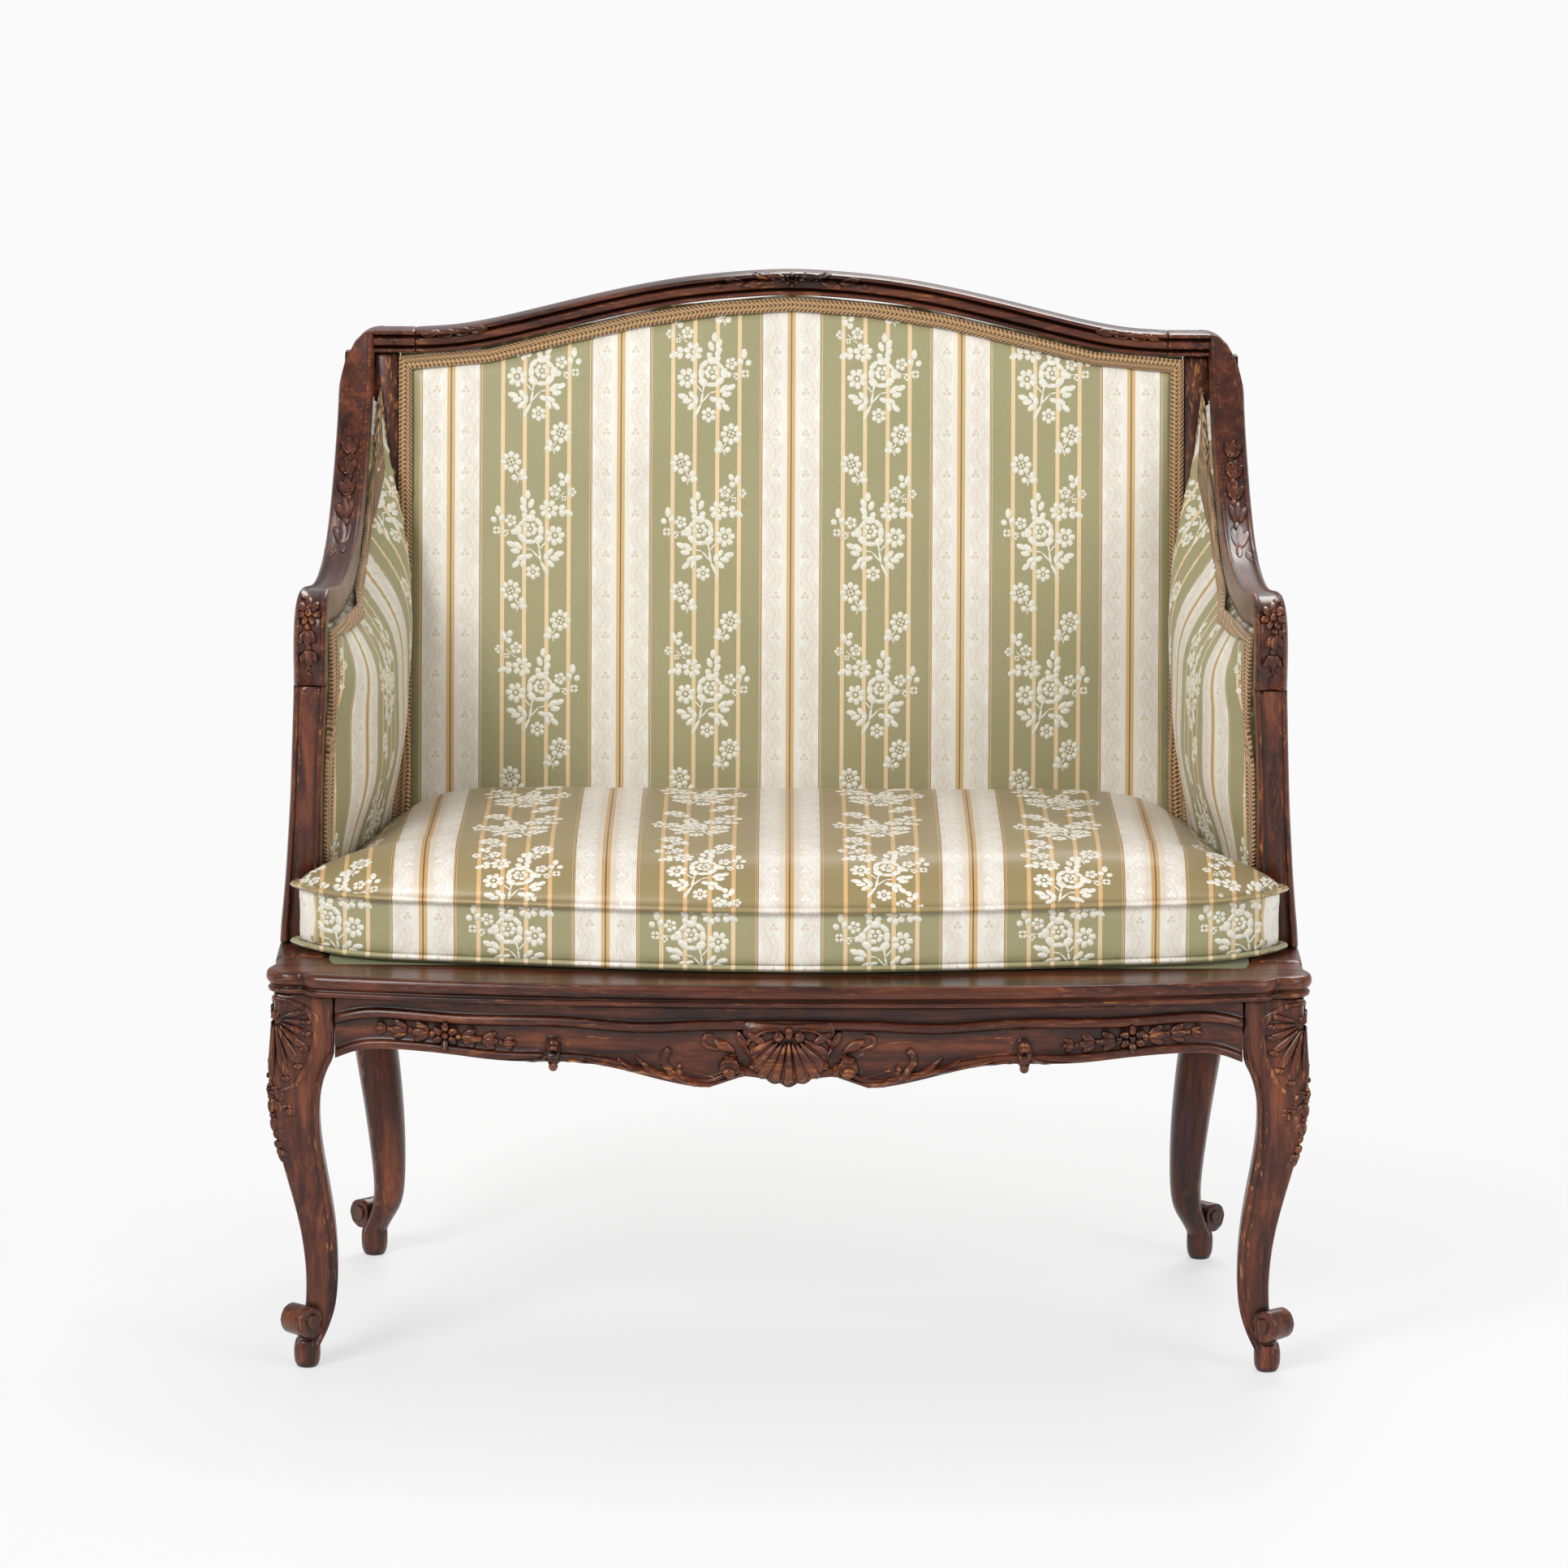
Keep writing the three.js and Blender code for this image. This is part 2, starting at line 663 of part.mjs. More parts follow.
function makeShell(face) {
  const rows = shellRows;
  const hingeProudShare = 0.9;
  const top = seatFrameUnderside - shellTopDrop;
  const count = shellRibs * shellSamples;
  const rays = spread(0, 1, count).map(share => shellRay(face, top, share));
  const hinge = new THREE.Vector3(0, face - shellProud * hingeProudShare, top);
  const hingeBack = new THREE.Vector3(0, face + railThickness / 3, top);
  const points = [hinge, hingeBack, ...rays.flatMap(row => row.ray), ...rays.map(row => row.rim)];
  const at = (i, j) => 2 + i * rows + j;
  const rimAt = i => 2 + (count + 1) * rows + i;
  const triangles = [];
  for (let i = 0; i < count; i += 1) {
    triangles.push(0, at(i, 0), at(i + 1, 0), 1, rimAt(i + 1), rimAt(i));
    for (let j = 0; j < rows - 1; j += 1) {
      triangles.push(at(i, j), at(i, j + 1), at(i + 1, j + 1), at(i, j), at(i + 1, j + 1), at(i + 1, j));
    }
    triangles.push(at(i, rows - 1), rimAt(i), rimAt(i + 1));
    triangles.push(at(i, rows - 1), rimAt(i + 1), at(i + 1, rows - 1));
  }
  const closeSide = (i, ahead) => {
    const edge = [0, ...spread(0, rows - 1, rows - 1).map(j => at(i, j)), rimAt(i), 1];
    for (let k = 1; k < edge.length - 1; k += 1) {
      if (ahead) triangles.push(edge[0], edge[k + 1], edge[k]);
      else triangles.push(edge[0], edge[k], edge[k + 1]);
    }
  };
  closeSide(0, true);
  closeSide(count, false);
  return closedGeometry(points, triangles);
}

function frontRailFace(x) {
  const share = Math.abs(x) / frontBlockInner;
  return frontBlockFace + railFaceStep - frontRailBow * (1 - share ** bowPower);
}

// The volute beside the shell and the two balls at the end of the edge bead, on one half of the rail
function railOrnaments(side, edge) {
  const voluteSides = 12;
  const voluteX = side * voluteSpan / 2;
  const voluteZ = seatFrameUnderside - along(edge, voluteSpan / 2) + voluteRise;
  const volute = new THREE.CylinderGeometry(voluteRadius, voluteRadius, 2 * edgeBeadProud, voluteSides)
    .translate(voluteX, frontRailFace(voluteX) - edgeBeadProud, voluteZ);
  const knobX = side * knobSpan / 2;
  const knobY = frontRailFace(knobX) - edgeBeadProud / 2;
  const knobZ = seatFrameUnderside - along(edge, knobSpan / 2);
  return [
    volute, faceBall(knobX, knobY, knobZ + knobUpperRise, knobUpperRadius),
    faceBall(knobX, knobY, knobZ - knobLowerDrop, knobLowerRadius),
  ];
}

function makeFrontRail() {
  const half = frontBlockInner - jointGap;
  const leftShares = frontRailStationShares.slice(1).reverse().map(share => -share);
  const edge = scaledTable(frontEdgeShares, half, frontRailDrop);
  const ridge = scaledTable(frontRidgeShares, half, ridgeDrop);
  const board = loft([...leftShares, ...frontRailStationShares].map(share => {
    const x = share * half;
    const section = railSection(along(edge, Math.abs(x)), along(ridge, Math.abs(x)));
    return section.map(([out, z]) => new THREE.Vector3(x, frontRailFace(x) - out, z));
  }));
  return joined(board, makeShell(frontRailFace(0)), ...railOrnaments(-1, edge), ...railOrnaments(1, edge));
}

const sideRailStart = [frontBlockOuter - ridgeProud, frontBlockFace + frontBlock + jointGap];
const sideRailEnd = [rearBlockOuter - ridgeProud, rearBlockFace - jointGap];

function makeSideRail() {
  const [startX, startY] = sideRailStart;
  const [endX, endY] = sideRailEnd;
  const table = scaledTable(sideEdgeShares, 1, sideRailDrop);
  const sections = 14;
  return loft(spread(0, 1, sections).map(share => {
    const x = blend(startX, endX, share);
    const y = blend(startY, endY, share);
    return railSection(along(table, share), ridgeDrop).map(([out, z]) => new THREE.Vector3(x + out, y, z));
  }));
}

function makeRearRail() {
  const half = rearBlockInner - jointGap;
  const top = seatFrameUnderside - jointGap;
  const back = rearBlockBack - railSetback;
  const sections = 12;
  const middleShare = 0.8;
  return loft(spread(-1, 1, sections).map(share => {
    const low = top - rearRailDrop * blend(middleShare, 1, share * share);
    return [[back, top], [back, low], [back - railThickness, low], [back - railThickness, top]]
      .map(([y, z]) => new THREE.Vector3(share * half, y, z));
  }));
}

addPiece('front_rail', makeFrontRail(), carvedWood);
addPair('side_rail', makeSideRail(), carvedWood);
addPiece('rear_rail', makeRearRail(), plainWood);

// Glue blocks that fill the inside corners behind the legs

function sideRailInner(y) {
  const share = (y - sideRailStart[1]) / (sideRailEnd[1] - sideRailStart[1]);
  return blend(sideRailStart[0], sideRailEnd[0], share) - railThickness - jointGap;
}

const frontRailInner = x => frontRailFace(x) + railThickness + jointGap;
const rearRailInner = rearBlockBack - railSetback - railThickness - jointGap;

function makeCornerBlock(outline) {
  const high = seatFrameUnderside - jointGap;
  return slab(outline, high - cornerBlockHeight, high);
}

function makeFrontCornerBlock() {
  const legX = frontBlockInner - jointGap;
  const legY = sideRailStart[1];
  const farX = legX - cornerBlockLeg;
  const farY = legY + cornerBlockLeg;
  return makeCornerBlock([
    [farX, frontRailInner(farX)], [legX, frontRailInner(legX)], [legX, legY],
    [sideRailInner(legY), legY], [sideRailInner(farY), farY],
  ]);
}

function makeRearCornerBlock() {
  const legX = rearBlockInner - jointGap;
  const legY = sideRailEnd[1];
  return makeCornerBlock([
    [legX - cornerBlockLeg, rearRailInner], [legX, rearRailInner], [legX, legY],
    [sideRailInner(legY), legY], [sideRailInner(legY - cornerBlockLeg), legY - cornerBlockLeg],
  ]);
}

addPair('front_corner_block', makeFrontCornerBlock(), plainWood);
addPair('rear_corner_block', makeRearCornerBlock(), plainWood);

// Seat frame

// The board's edge from the top down: a torus over a thin bead. Each row gives the set-back as a share of
// the moulding's reach, then the level as a share of the board's thickness.
const mouldingShares = [
  [0.95, 1.00], [0.30, 0.94], [0.00, 0.74], [0.10, 0.53], [0.64, 0.38], [0.74, 0.33], [0.30, 0.21],
  [0.42, 0.07], [0.95, 0.00],
];
const mouldingLevels = mouldingShares.map(([inset, level]) => [
  inset * mouldingReach, seatFrameUnderside + level * seatFrameThickness]);

const rearSide = rearSpan / 2;
const sideLineShares = [0.27, 1.25];
const sideLineStart = [
  earSpan / 2 - sideLineShares[0] * earRadius, earCentreY + sideLineShares[1] * earRadius];
const frontMemberEnd = frontBlockFace + frontBlock + railSetback;
const boardSideShare = 0.7;
const boardFrontShare = 0.72;
const openingFront = seatFrameFront + boardFrontShare * seatFrameBoardWidth;
const openingInner = y => sideLine(y) - boardSideShare * seatFrameBoardWidth;

function sideLine(y) {
  const share = (y - sideLineStart[1]) / (seatFrameRear - sideLineStart[1]);
  return blend(sideLineStart[0], rearSide, share) + sideBow * 4 * share * (1 - share);
}

// The right half of the front board's moulded edge: the bow, the small shoulder, the ear round the leg's
// corner and the start of the side.
function earOutline() {
  const bowPoints = 7;
  const bowEndShare = 0.28;
  const bowEnd = frontStraightSpan / 2 - bowEndShare * earRadius;
  const points = spread(0, bowEnd, bowPoints).map(x => [x, frontLine(x)]);
  const shoulderShares = [[-0.72, -1.42], [-0.56, -1.22]];
  const lobeDegrees = [-112, -84, -56, -28, 0, 28];
  const tailShares = [[0.745, 0.86], [0.72, 1.06]];
  const ear = ([a, b]) => [earCentreX + a * earRadius, earCentreY + b * earRadius];
  points.push(...shoulderShares.map(ear));
  points.push(...lobeDegrees.map(degrees => {
    const angle = THREE.MathUtils.degToRad(degrees);
    return ear([Math.cos(angle), Math.sin(angle)]);
  }));
  points.push(...tailShares.map(ear));
  points.push([sideLine(frontMemberEnd), frontMemberEnd]);
  return points;
}

// A board whose moulded edge steps in and out level by level. The moulded points move along their normals
// and the inner points stay.
function mouldedBoard(moulded, inner) {
  const outline = [...moulded, ...inner];
  const rings = mouldingLevels.map(([inset, z]) => outline.map(([x, y], i) => {
    if (i >= moulded.length) return new THREE.Vector3(x, y, z);
    const before = moulded[Math.max(i - 1, 0)];
    const after = moulded[Math.min(i + 1, moulded.length - 1)];
    const normal = new THREE.Vector2(before[1] - after[1], after[0] - before[0]).normalize();
    if (i === 0 || i === moulded.length - 1) normal.set(-Math.sign(x), 0);
    return new THREE.Vector3(x + normal.x * inset, y + normal.y * inset, z);
  }));
  return loft(rings);
}

function makeFrontBoard() {
  const half = earOutline();
  const moulded = [...half.slice(1).reverse().map(([x, y]) => [-x, y]), ...half];
  const innerX = openingInner(frontMemberEnd);
  const innerHalf = [
    [innerX, frontMemberEnd], [innerX - railSetback, openingFront + railSetback],
    [innerX - 2 * railSetback, openingFront],
  ];
  return mouldedBoard(moulded, [...innerHalf, ...innerHalf.slice().reverse().map(([x, y]) => [-x, y])]);
}

const rearMemberStart = rearBlockFace - railSetback;

function makeSideBoard() {
  const sections = 6;
  const places = spread(frontMemberEnd + jointGap, rearMemberStart - jointGap, sections);
  return loft(places.map(y => {
    const edge = mouldingLevels.map(([inset, z]) => new THREE.Vector3(sideLine(y) - inset, y, z));
    const inner = [seatFrameUnderside, seatFrameTop].map(z => new THREE.Vector3(openingInner(y), y, z));
    return [...edge, ...inner];
  }));
}

function makeRearBoard() {
  const cornerShares = [[1, 0], [1, 0.5], [0.985, 0.8], [0.95, 0.95], [0.9, 1]];
  const depth = seatFrameRear - rearMemberStart;
  const half = cornerShares.map(([a, b]) => {
    const y = rearMemberStart + b * depth;
    return [a * sideLine(y), y];
  });
  const outline = [...half, ...half.slice().reverse().map(([x, y]) => [-x, y])];
  const rings = mouldingLevels.map(([inset, z]) => outline.map(([x, y]) => {
    const shrinkX = 1 - inset / rearSide;
    const pull = inset * (y - rearMemberStart) / depth;
    return new THREE.Vector3(x * shrinkX, y - pull, z);
  }));
  return loft(rings);
}

addPiece('seat_frame_front', makeFrontBoard(), carvedWood);
addPair('seat_frame_side', makeSideBoard(), carvedWood);
addPiece('seat_frame_back', makeRearBoard(), carvedWood);

// Arm posts

// Rows give the height as a share of the post, the lean from foot to head, then the change from the base's
// width and depth to the neck's.
const postShares = [
  [0.00, 0.00, 0.00, 0.00], [0.07, 0.03, 0.12, 0.25], [0.15, 0.07, 0.38, 0.50], [0.29, 0.17, 0.70, 0.60],
  [0.56, 0.44, 1.00, 0.85], [0.79, 0.69, 1.00, 1.00], [1.00, 1.00, 0.87, 1.10],
];

// Sections of the members: shares of half the width, then of half the depth towards the show side
const postProfileShares = [
  [-0.96, -1], [0.96, -1], [1, -0.86], [1, 0.7], [0.88, 0.94], [0.7, 1], [0.56, 0.84], [0, 0.92],
  [-0.56, 0.84], [-0.7, 1], [-0.88, 0.94], [-1, 0.7], [-1, -0.86],
];
const armProfileShares = [
  [0.7, -1], [1, -0.6], [1, 0.35], [0.88, 0.86], [0.7, 0.98], [0.54, 0.82], [-0.54, 0.82], [-0.7, 0.98],
  [-0.88, 0.86], [-1, 0.35], [-1, -0.6], [-0.7, -1],
];
const crestProfileShares = [
  [1, -0.9], [1, 0.5], [0.84, 0.88], [0.6, 0.86], [0.44, 0.64], [0.24, 0.94], [-0.24, 0.94], [-0.44, 0.64],
  [-0.6, 0.86], [-0.84, 0.88], [-1, 0.5], [-1, -0.9],
];
const upwards = new THREE.Vector3(0, 0, 1);
const sideways = new THREE.Vector3(1, 0, 0);
const toMiddle = new THREE.Vector3(-1, 0, 0);

function postStations(extra) {
  const low = seatFrameTop + jointGap;
  return postShares.map(([heightShare, leanShare, widthShare, depthShare]) => ({
    at: [
      blend(postFootSide, postHeadSide, leanShare),
      blend(postFootDepth, postHeadDepth, leanShare),
      blend(low, armJointHeight, heightShare),
    ],
    width: blend(postBaseWidth, postWidth, widthShare) + extra,
    depth: blend(postBaseDepth, postDepth, depthShare) + extra,
  }));
}

function makePost(extra) {
  const steps = 12;
  const ends = { first: upwards, last: upwards };
  return sweptMember(postStations(extra), postProfileShares, steps, sideways, ends).geometry;
}

addPair('arm_post', makePost(0), carvedWood);

// Arm rails: each sweeps from the post round its knob, back along the side and up the wing to the corner

// Rows give x as a share from the post's head to the wing's line, then y and z as shares of the run to the
// back and of the climb, and the change from the knob's size to the wing's.
const armSteps = 32;
const armShares = [
  [0.00, 0.000, 0.000, 0.00], [0.03, -0.028, 0.096, 0.00], [0.06, -0.043, 0.178, 0.00],
  [0.10, -0.033, 0.243, 0.00], [0.18, 0.004, 0.272, 0.05], [0.35, 0.060, 0.265, 0.15],
  [0.50, 0.146, 0.250, 0.30], [0.60, 0.255, 0.246, 0.50], [0.66, 0.386, 0.257, 0.70],
  [0.70, 0.495, 0.280, 0.85], [0.76, 0.617, 0.340, 1.00], [0.82, 0.754, 0.461, 1.00],
  [0.92, 0.867, 0.646, 1.00], [0.98, 0.936, 0.807, 1.00], [1.00, 0.978, 0.921, 1.00],
  [1.00, 1.000, 1.000, 1.00],
];

function armStations(extra) {
  return armShares.map(([xShare, yShare, zShare, sizeShare]) => ({
    at: [
      blend(postHeadSide, wingLine, xShare),
      postHeadDepth + yShare * armRun,
      armJointHeight + jointGap + zShare * armClimb,
    ],
    width: blend(knobWidth, wingWidth, sizeShare) + extra,
    depth: blend(knobThickness, wingThickness, sizeShare) + extra,
  }));
}

// The crest's line: the height of its middle and its place to the back, by the distance from the centre.
const crestHeightShares = [
  [0.000, 1.000], [0.120, 0.958], [0.250, 0.883], [0.395, 0.733], [0.542, 0.525], [0.692, 0.292],
  [0.768, 0.175], [0.845, 0.075], [0.918, 0.015], [1.000, 0.000],
];
const crestHeightShare = x => along(crestHeightShares, Math.abs(x) / (crestSpan / 2));
const crestLevel = x => crestTop - crestFaceHeight / 2 - crestRise * (1 - crestHeightShare(x));
const crestDepthLine = x => blend(crestEndMiddle, crestMiddle, crestHeightShare(x));

// The piece of crest moulding that grows out of the wing's corner and meets the crest rail.
function cornerStub(extra) {
  const steps = 6;
  const endX = crestSpan / 2 + jointGap - extra / 2;
  const level = crestLevel(crestSpan / 2);
  const riseToCorner = wingTop - crestFaceHeight / 2 - level;
  const riseShares = [[1, 1], [0.7, 1], [0.35, 0.62], [0, 0]];
  const places = riseShares.map(([run, rise]) => ({
    at: [blend(endX, wingLine + extra / 2, run), crestEndMiddle, level + rise * riseToCorner],
    width: crestFaceHeight + extra,
    depth: crestDepth + extra,
  }));
  const ends = { first: toMiddle, last: toMiddle };
  return sweptMember(places, crestProfileShares, steps, upwards, ends).geometry;
}

// The wing's outer top corner is rounded off when seen from the front.
function cornerRounder() {
  const arcPoints = 5;
  const low = seatFrameTop;
  const outline = [
    [crestSpan / 4, low], [earSpan, low], [earSpan, wingShoulderHeight - 3 * wingWidth],
    [wingShoulderSide + wingThickness / 5, wingShoulderHeight - wingWidth],
  ];
  for (const angle of spread(0, Math.PI / 2, arcPoints)) {
    outline.push([
      wingCornerSide + Math.cos(angle) * (wingShoulderSide - wingCornerSide),
      wingShoulderHeight + Math.sin(angle) * wingShoulderDrop,
    ]);
  }
  outline.push([crestSpan / 2, wingTop], [crestSpan / 4, wingTop + crestRise]);
  return loft([-overrun, seatFrameRear + crestMiddle].map(
    y => outline.map(([x, z]) => new THREE.Vector3(x, y, z))));
}

function makeArmRail(extra) {
  const ends = { first: upwards };
  const rail = sweptMember(armStations(extra), armProfileShares, armSteps, sideways, ends).geometry;
  return joined(rail, cornerStub(extra));
}

addPair('arm_rail', keptInside(makeArmRail(0), cornerRounder()), carvedWood);

// Back frame

function makeStile() {
  const low = seatFrameTop + jointGap;
  const high = wingTop;
  const section = [[stileInner, 0], [stileOuter, 0], [stileOuter, stileDepth], [stileInner, stileDepth]];
  const stile = loft([low, high].map(
    z => section.map(([x, y]) => new THREE.Vector3(x, backFace(z) + y, z))));
  const clearance = 2 * jointGap;
  const overhead = slab(
    [[0, 0], [earSpan, 0], [earSpan, earSpan], [0, earSpan]],
    wingTop - crestFaceHeight - jointGap, crestTop + overrun);
  return cutBy(stile, makeArmRail(clearance), overhead);
}

function makeCrest() {
  const steps = 20;
  const places = spread(crestSpan / 2, -crestSpan / 2, steps).map(x => ({
    at: [x, crestDepthLine(x), crestLevel(x)], width: crestFaceHeight, depth: crestDepth,
  }));
  const ends = { first: toMiddle, last: toMiddle };
  return sweptMember(places, crestProfileShares, steps, upwards, ends).geometry;
}

// The corners of a lower rail's section: the height, and the share of its depth
const lowerRailSection = (() => {
  const low = seatFrameTop + jointGap;
  const high = low + lowerRailHeight;
  return [[low, 0], [low, 1], [high, 1], [high, 0]];
})();

function makeBackLowerRail() {
  const half = stileInner - jointGap;
  const front = softGap + braidThickness;
  return loft([-half, half].map(x => lowerRailSection.map(([z, share]) =>
    new THREE.Vector3(x, backFace(z) + front + share * lowerRailDepth, z))));
}

// One column of the post's table, read at a height.
const [leanColumn, widthColumn, depthColumn] = [1, 2, 3];

function postShareAt(z, column) {
  const share = (z - seatFrameTop) / (armJointHeight - seatFrameTop);
  return along(postShares.map(row => [row[0], row[column]]), share);
}

function postRear(z) {
  return blend(postFootDepth, postHeadDepth, postShareAt(z, leanColumn))
    + blend(postBaseDepth, postDepth, postShareAt(z, depthColumn)) / 2;
}

function makeSideLowerRail() {
  const frontY = postRear(seatFrameTop) + 2 * jointGap;
  const front = lowerRailSection.map(([z, share]) =>
    new THREE.Vector3(sidePlaneFront + share * lowerRailDepth, frontY, z));
  const rear = lowerRailSection.map(([z, share]) =>
    new THREE.Vector3(sidePlaneRear + share * lowerRailDepth, backFace(z) - jointGap, z));
  return loft([front, rear]);
}

addPair('back_stile', makeStile(), carvedWood);
addPiece('crest_rail', makeCrest(), carvedWood);
addPiece('back_lower_rail', makeBackLowerRail(), plainWood);
addPair('side_lower_rail', makeSideLowerRail(), plainWood);

// Stuffed panels and cloths

// A body between two grids of points that match one to one.
function sheetBody(front, back) {
  const rows = front.length;
  const columns = front[0].length;
  const points = [...front.flat(), ...back.flat()];
  const f = (i, j) => i * columns + j;
  const b = (i, j) => rows * columns + i * columns + j;
  const triangles = [];
  const quad = (p, q, r, s) => triangles.push(p, q, r, p, r, s);
  for (let i = 0; i < rows - 1; i += 1) {
    for (let j = 0; j < columns - 1; j += 1) {
      quad(f(i, j), f(i + 1, j), f(i + 1, j + 1), f(i, j + 1));
      quad(b(i, j), b(i, j + 1), b(i + 1, j + 1), b(i + 1, j));
    }
    quad(f(i, 0), b(i, 0), b(i + 1, 0), f(i + 1, 0));
    quad(f(i, columns - 1), f(i + 1, columns - 1), b(i + 1, columns - 1), b(i, columns - 1));
  }
  for (let j = 0; j < columns - 1; j += 1) {
    quad(f(0, j), f(0, j + 1), b(0, j + 1), b(0, j));
    quad(f(rows - 1, j), b(rows - 1, j), b(rows - 1, j + 1), f(rows - 1, j + 1));
  }
  return closedGeometry(points, triangles);
}

// A soft line through some points, walked at an even pace.
function pacedLine(points) {
  const curve = new THREE.CatmullRomCurve3(points.map(p => new THREE.Vector3(...p)), false, 'centripetal');
  return share => curve.getPointAt(clamp(share, 0, 1));
}

// The surface inside four edge lines: low and high run along, start and end run upwards.
function patch(low, high, start, end) {
  const corners = [low(0), low(1), high(0), high(1)];
  return (s, t) => new THREE.Vector3()
    .addScaledVector(low(s), 1 - t).addScaledVector(high(s), t)
    .addScaledVector(start(t), 1 - s).addScaledVector(end(t), s)
    .addScaledVector(corners[0], -(1 - s) * (1 - t)).addScaledVector(corners[1], -s * (1 - t))
    .addScaledVector(corners[2], -(1 - s) * t).addScaledVector(corners[3], -s * t);
}

// Places along a patch that leave a flat margin of the given width at each of its edges.
function marginGrid(surface, alongCount, upCount, margin) {
  const placed = (k, count, length) => {
    const edge = margin / length;
    if (k === 0 || k === count) return k / count;
    return blend(edge, 1 - edge, (k - 1) / (count - 2));
  };
  return spread(0, alongCount, alongCount).map(i => spread(0, upCount, upCount).map(j => {
    const sNear = i / alongCount;
    const tNear = j / upCount;
    const alongLength = surface(0, tNear).distanceTo(surface(1, tNear));
    const upLength = surface(sNear, 0).distanceTo(surface(sNear, 1));
    return surface(placed(i, alongCount, alongLength), placed(j, upCount, upLength));
  }));
}

// How full the stuffing stands, from the margin to the middle. A higher power fills the edges more.
const backFullPower = 3;
const sideFullPower = 5;

function fullness(k, count, power) {
  const share = clamp((k - 1) / (count - 2), 0, 1);
  return 1 - Math.abs(2 * share - 1) ** power;
}

function bulged(grid, crown, direction, power) {
  const alongCount = grid.length - 1;
  const upCount = grid[0].length - 1;
  return grid.map((row, i) => row.map((p, j) => {
    const full = fullness(i, alongCount, power) * fullness(j, upCount, power) * aboveCushion(p);
    return p.clone().addScaledVector(direction, crown * full);
  }));
}

const shifted = (grid, offset) => grid.map(row => row.map(p => p.clone().add(offset(p))));

// The cushion presses the panels flat near the seat, so their stuffing only swells above it.
function aboveCushion(p) {
  return smooth((p.z - seatFrameTop - cushionBandHeight) / padRise);
}

// Inside back

const panelLow = seatFrameTop + jointGap + lowerRailHeight + softGap;
const panelHalf = stileInner - softGap;
const crestUnder = x => crestLevel(x) - crestFaceHeight / 2 - crestReveal;

function backSurface(half, low, face) {
  const crestPoints = 20;
  const at = (x, z) => [x, face(z), z];
  const lowEdge = pacedLine([at(-half, low), at(half, low)]);
  const highEdge = pacedLine(spread(-half, half, crestPoints).map(x => at(x, crestUnder(x))));
  const leftEdge = pacedLine([at(-half, low), at(-half, crestUnder(half))]);
  const rightEdge = pacedLine([at(half, low), at(half, crestUnder(half))]);
  return patch(lowEdge, highEdge, leftEdge, rightEdge);
}

const backInsideCells = [12, 9];
const backOutsideCells = [8, 6];
const sideInsideCells = [9, 8];
const sideOutsideCells = [7, 5];
const backInside = marginGrid(backSurface(panelHalf, panelLow, backFace), ...backInsideCells, padMargin);
const towardsSitter = new THREE.Vector3(0, -1, 0);

function makeBackPad() {
  const front = bulged(backInside, backPadCrown, towardsSitter, backFullPower);
  return sheetBody(front, shifted(backInside, () => new THREE.Vector3(0, backPadThickness, 0)));
}

const outsideFace = z => backFace(z) + stileDepth - coverThickness;
const coverLow = seatFrameTop + jointGap + softGap;
const backOutside = marginGrid(
  backSurface(panelHalf, coverLow, outsideFace), ...backOutsideCells, padMargin);
const backOuterSkin = shifted(backOutside, () => new THREE.Vector3(0, coverThickness, 0));

addPiece('back_pad', makeBackPad(), stripedSilk);
addPiece('back_cover', sheetBody(backOutside, backOuterSkin), stripedSilk);

// Inside and outside of the arms

// Points a little under the arm rail, at these shares of its length; across is the share of its half width.
function armUnderside(shares, across) {
  const stations = armStations(0);
  const { curve } = sweptMember(stations, armProfileShares, armSteps, sideways, { first: upwards });
  const clear = 1 + 2 * softGap / wingThickness;
  return shares.map(t => {
    const place = t * (stations.length - 1);
    const low = Math.min(Math.floor(place), stations.length - 2);
    const width = blend(stations[low].width, stations[low + 1].width, place - low);
    const depth = blend(stations[low].depth, stations[low + 1].depth, place - low);
    const rise = sideways.clone().cross(curve.getTangent(t)).normalize();
    const point = curve.getPoint(t).addScaledVector(rise, -depth / 2 * clear);
    return [point.x + across * width / 2, point.y, point.z];
  });
}

// Points a little behind the arm post, from the panel's foot up to the arm.
function postLine(across) {
  const parts = 4;
  return spread(panelLow, armJointHeight, parts).map(z => {
    const x = blend(postFootSide, postHeadSide, postShareAt(z, leanColumn));
    const width = blend(postBaseWidth, postWidth, postShareAt(z, widthColumn));
    return [x + across * width / 2, postRear(z) + 2 * softGap, z];
  });
}

// Where a side panel follows the arm rail, by shares of the rail's length: up its knob, then along under it
const knobShares = [0.0875, 0.147];
const underArmShares = [0.147, 0.206, 0.266, 0.353, 0.4375, 0.531, 0.619, 0.691, 0.766, 0.83, 0.885];
const armEdgeShare = 0.9;

function sideSurface(across, low, rearX, rearClear) {
  const rearParts = 3;
  const post = postLine(across);
  const frontPoints = [
    [post[0][0], postRear(low) + 2 * softGap, low], ...post.slice(1),
    ...armUnderside(knobShares, across * armEdgeShare),
  ];
  const topPoints = armUnderside(underArmShares, across * armEdgeShare);
  const corner = topPoints.at(-1);
  const rearHeights = spread(low, corner[2], rearParts).slice(0, rearParts);
  const rearPoints = [...rearHeights.map(z => [rearX, backFace(z) - rearClear, z]), corner];
  const lowEdge = pacedLine([frontPoints[0], rearPoints[0]]);
  return patch(lowEdge, pacedLine(topPoints), pacedLine(frontPoints), pacedLine(rearPoints));
}

